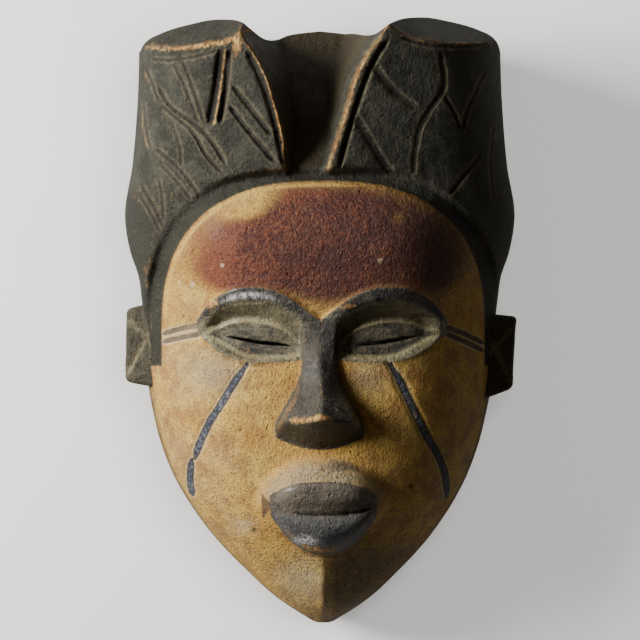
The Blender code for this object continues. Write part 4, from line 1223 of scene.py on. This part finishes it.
colour = laid_over(OCHRE_DEEP, OCHRE_LIGHT, spread(mottle, 0.36, 0.62))
warm = times(spread(blotch, 0.54, 0.42), spread(fine, 0.62, 0.40, 0.3, 1.0))
colour = laid_over(colour, OCHRE_ORANGE, warm, 0.6)
chalk = times(spread(blotch, 0.48, 0.68), spread(fine, 0.35, 0.65))
colour = laid_over(colour, OCHRE_CHALK, chalk, 0.22)
ash = times(layer("ashy"), spread(fine, 0.30, 0.62, 0.35, 0.95))
colour = laid_over(colour, ASH_GREY, ash)
grime = times(spread(speck, 0.46, 0.62), spread(fine, 0.40, 0.58))
colour = laid_over(colour, OCHRE_GRIME, grime, 0.8)
# Grime along the outline, and painted shade on the right side of the chin.
colour = laid_over(colour, JAW_GRIME_AND_SHADE, ragged(layer("edge_grime_and_shade"), 0.8, 0.1, 0.9), 0.85)
on_red = ragged(sum_of(layer("red_in"), sum_of(mottle, -0.5), 0.5), 0.6, -0.12, 0.55)
thin = sum_of(sum_of(speck, fine, 0.8), sum_of(blotch, mottle, 0.6), 0.7)
# The red is lighter towards the left: rubbed paint, and painted light on the side that faces the lamp.
thin = sum_of(thin, layer("red_rub_and_lit_side"), 0.30)
red = laid_over(RED_EARTH, RED_RUBBED, spread(thin, 1.36, 1.72))
flecks = times(spread(fibre, 0.58, 0.70), mixed(fine, blotch, 0.8, 0.88, 1.02))
red = laid_over(red, RED_FLECK, flecks, 0.6)
colour = laid_over(colour, red, on_red)
border = times(ragged(layer("border_in"), 0.9, 0.15, 0.7), 0.8)
colour = laid_over(colour, OCHRE_LIGHT, border)
pale = ragged(layer("pale_in"), 1.2, 0.5, 1.1)
colour = laid_over(colour, OCHRE_CHALK, pale, 0.6)
smudge = times(ragged(layer("smudge_in"), 0.8, 0.0, 0.9), 0.68)
colour = laid_over(colour, BLACK_GREY, smudge)
temple = layer("temple_in")
# Beside the temple cuts a lighter line, partly rubbed wood and partly painted highlight on their ridges; in
# the cuts dark paint that also stands for their shade.
colour = laid_over(colour, OCHRE_CHALK, spread(temple, -0.32, -0.12), 0.55)
temple = times(ragged(temple, 0.3, -0.05, 0.15), spread(mottle, 0.3, 0.6, 0.65, 0.95))
colour = laid_over(colour, TEMPLE_BROWN_AND_SHADE, temple)
colour = laid_over(colour, CHIP_BROWN, ragged(layer("chip_in"), 0.6, -0.10, 0.2), 0.92)
stripe = ragged(layer("stripe_in"), 0.35, -0.05, 0.15)
slate = laid_over(SLATE, SLATE_RUBBED, mixed(fine, mottle, 0.9, 0.90, 1.08))
slate = laid_over(slate, OCHRE_CHALK, mixed(fine, mottle, 0.9, 1.10, 1.16), 0.6)
slate = laid_over(slate, BLACK_PAINT, spread(layer("stripe_in"), 0.28, 0.12))
colour = laid_over(colour, OCHRE_CHALK, spread(layer("stripe_in"), -0.35, -0.15), 0.35)
colour = laid_over(colour, slate, stripe)
black = laid_over(BLACK_PAINT, BLACK_GREY, mixed(mottle, fine, 0.6, 0.72, 1.0))
streaks = sum_of(layer("rubbed"), sum_of(mottle, -0.5), 0.8)
black = laid_over(black, SOCKET_OLIVE, sum_of(streaks, sum_of(level_fibre, -0.5), 0.9))
nose_rub = layer("nose_rub")
worn_nose = times(nose_rub, mixed(fine, mottle, 0.8, 0.70, 1.0, 0.35, 0.95))
black = laid_over(black, NOSE_GREY, worn_nose)
lip = laid_over(LIP_BROWN, LIP_SLATE, layer("lip_low"))
lip_rub = mixed(fine, mottle, 0.7, 0.66, 0.98, 0.35, 1.0)
lip_rub = times(lip_rub, ragged(layer("lip_in"), 0.5, -0.1, 0.4))
black = laid_over(black, lip, lip_rub)
# Painted highlight on the left brow and the lower lip, in light grey.
painted_highlight = times(layer("painted_highlight_in"), mixed(fibre, mottle, 0.6, 0.60, 0.95))
black = laid_over(black, PAINTED_HIGHLIGHT_GREY, painted_highlight, 0.9)
# Painted shade in the lips' parting.
black = laid_over(black, GROOVE_DIRT_AND_SHADE, layer("parting_shade"))
dark = ragged(layer("dark_in"), 0.4, -0.12, 0.18)
colour = laid_over(colour, black, dark)
hair = laid_over(HAIR_DARK, HAIR_GREY, mixed(mottle, fine, 0.7, 0.72, 1.02))
hair = laid_over(hair, HAIR_DARK, ragged(layer("band_in"), 0.6, 0.1, 0.6), 0.75)
on_hair = ragged(layer("hair_in"), 0.35, 0.0, 0.35)
colour = laid_over(colour, hair, on_hair)
rubbed_lips = times(layer("cut_lip"), mixed(fine, mottle, 0.6, 0.58, 0.88, 0.3, 1.0))
colour = laid_over(colour, HAIR_RUBBED, rubbed_lips)
# Cut floors, dents and the line under the left eye's rim darkened: dirt and painted shade.
colour = laid_over(colour, GROOVE_DIRT_AND_SHADE, layer("cut_dirt_and_shade"), 0.75)
# The gouged valley is a lighter brown than the hair: its own brown, lifted as painted fill light where it
# lies in shade.
colour = laid_over(colour, VALLEY_BROWN_AND_FILL_LIGHT, layer("valley_brown_and_fill_light"), 0.7)
proud = layer("proud")
# Painted shade and dirt in hollows: darker where the surface lies lower than around it.
crease_dirt_and_shade = spread(proud, -1.1, -0.15, 0.4, 0.0)
colour = laid_over(colour, GROOVE_DIRT_AND_SHADE, crease_dirt_and_shade)
rubbed_edge = spread(sum_of(proud, sum_of(fine, -0.5), 0.9), 0.35, 1.0, 0.0, 0.28)
# Bare wood along worn edges, and among them the painted highlight on the nose's left wall.
ticks = sum_of(layer("wear_and_highlight_in"), sum_of(fibre, -0.5), 2.2)
wear_and_highlight = ragged(ticks, 2.0, 0.30, 0.75)
tan = laid_over(BARE_TAN, BARE_CREAM, mixed(mottle, fine, 0.6, 0.72, 0.92))
tan = laid_over(tan, CHIP_BROWN, spread(fibre, 0.45, 0.57), 0.8)
bare_edge = add("Math", {0: wear_and_highlight, 1: rubbed_edge}, operation="MAXIMUM").outputs[0]
colour = laid_over(colour, tan, bare_edge)

waxed = sum_of(dark, on_red, 0.25)
waxed = times(waxed, spread(nose_rub, 0.0, 1.0, 1.0, 0.25))
matt = mixed(mottle, fine, 0.5, 0.62, 0.92, 0.50, 0.68)
waxy = mixed(mottle, fine, 0.5, 0.62, 0.92, 0.36, 0.56)
rough = add("Mix", {0: waxed, 2: matt, 3: waxy}, data_type="FLOAT", clamp_factor=True).outputs[0]
rough = add("Mix", {0: wear_and_highlight, 2: rough, 3: 0.7}, data_type="FLOAT").outputs[0]
shader = join_finish(colour, rough, 0.0019, 0.9)
tree.links.new(times(waxed, spread(fine, 0.35, 0.65, 0.08, 0.30)), shader.inputs["Coat Weight"])
shader.inputs["Coat Roughness"].default_value = 0.28
shader.inputs["IOR"].default_value = 1.38


# The bare wood of the hollow, the rim and the slits' sides: unpainted, darkened by sweat and smoke.
BARE_BROWN = (0.20, 0.115, 0.055, 1.0)
BARE_SMOKED = (0.065, 0.038, 0.020, 1.0)

raw, tree, (blotch, mottle, fine, speck, fibre, waves) = wooden("bare_wood")
smoked = mixed(mottle, blotch, 0.8, 0.78, 1.05)
colour = laid_over(BARE_SMOKED, BARE_BROWN, smoked)
colour = laid_over(colour, BARE_SMOKED, spread(fibre, 0.48, 0.66), 0.7)
join_finish(colour, spread(mottle, 0.3, 0.7, 0.62, 0.82), 0.0008, 0.8)

mask.data.materials.append(painted)
mask.data.materials.append(raw)
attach(mask, "root")
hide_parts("mask")


# The table. The mask lies face up on a plain pale top, in soft light from the left.
TOP_IN_LIGHT = (0.22, 0.22, 0.21, 1.0)
TOP_IN_VIEW = (0.82, 0.81, 0.79, 1.0)

bpy.ops.mesh.primitive_plane_add(size=8.0, location=(0, 0, 0))
table = bpy.context.active_object
table.name = "table_top"
pale_top = bpy.data.materials.new("pale_top")
pale_top.use_nodes = True
tree = pale_top.node_tree
shader = tree.nodes["Principled BSDF"]
top_colour = laid_over(TOP_IN_LIGHT, TOP_IN_VIEW, add("LightPath").outputs["Is Camera Ray"])
tree.links.new(top_colour, shader.inputs["Base Color"])
shader.inputs["Roughness"].default_value = 0.85
table.data.materials.append(pale_top)

LAMPS = (("key", Vector((-1.10, 0.34, 0.70)), 0.60, 46.5), ("floor", Vector((0.5, 0.2, 2.2)), 1.2, 40.0))
LAMPS_AIM = Vector((0, 0, 0.06))
lamps = {}
for name, place, size, power in LAMPS:
    light = bpy.data.lights.new(name, "AREA")
    light.size = size
    light.energy = power
    lamp = bpy.data.objects.new(name, light)
    lamp.location = place
    lamp.rotation_euler = (LAMPS_AIM - place).to_track_quat("-Z", "Y").to_euler()
    bpy.context.scene.collection.objects.link(lamp)
    lamps[name] = lamp
lit = bpy.data.collections.new("table_only")
lit.objects.link(table)
lamps["floor"].light_linking.receiver_collection = lit
world = bpy.data.worlds.new("soft_light")
world.use_nodes = True
sky = world.node_tree.nodes["Background"].inputs
sky["Color"].default_value = (1.0, 0.90, 0.72, 1.0)
sky["Strength"].default_value = 0.068
bpy.context.scene.world = world

# The camera looks straight down on the lying mask, as the photo looks straight at its face.
CAMERA_HEIGHT = 2.0
FACE_HEIGHT = 0.05
VIEW_WIDTH = 0.3386
SENSOR_WIDTH = 36.0
camera = bpy.data.cameras.new("view")
camera.sensor_width = SENSOR_WIDTH
camera.lens = SENSOR_WIDTH * (CAMERA_HEIGHT - FACE_HEIGHT) / VIEW_WIDTH
eye_point = bpy.data.objects.new("view", camera)
eye_point.location = (0.04 * PART, (-0.25 - MIDDLE) * PART, CAMERA_HEIGHT)
bpy.context.scene.collection.objects.link(eye_point)
bpy.context.scene.camera = eye_point
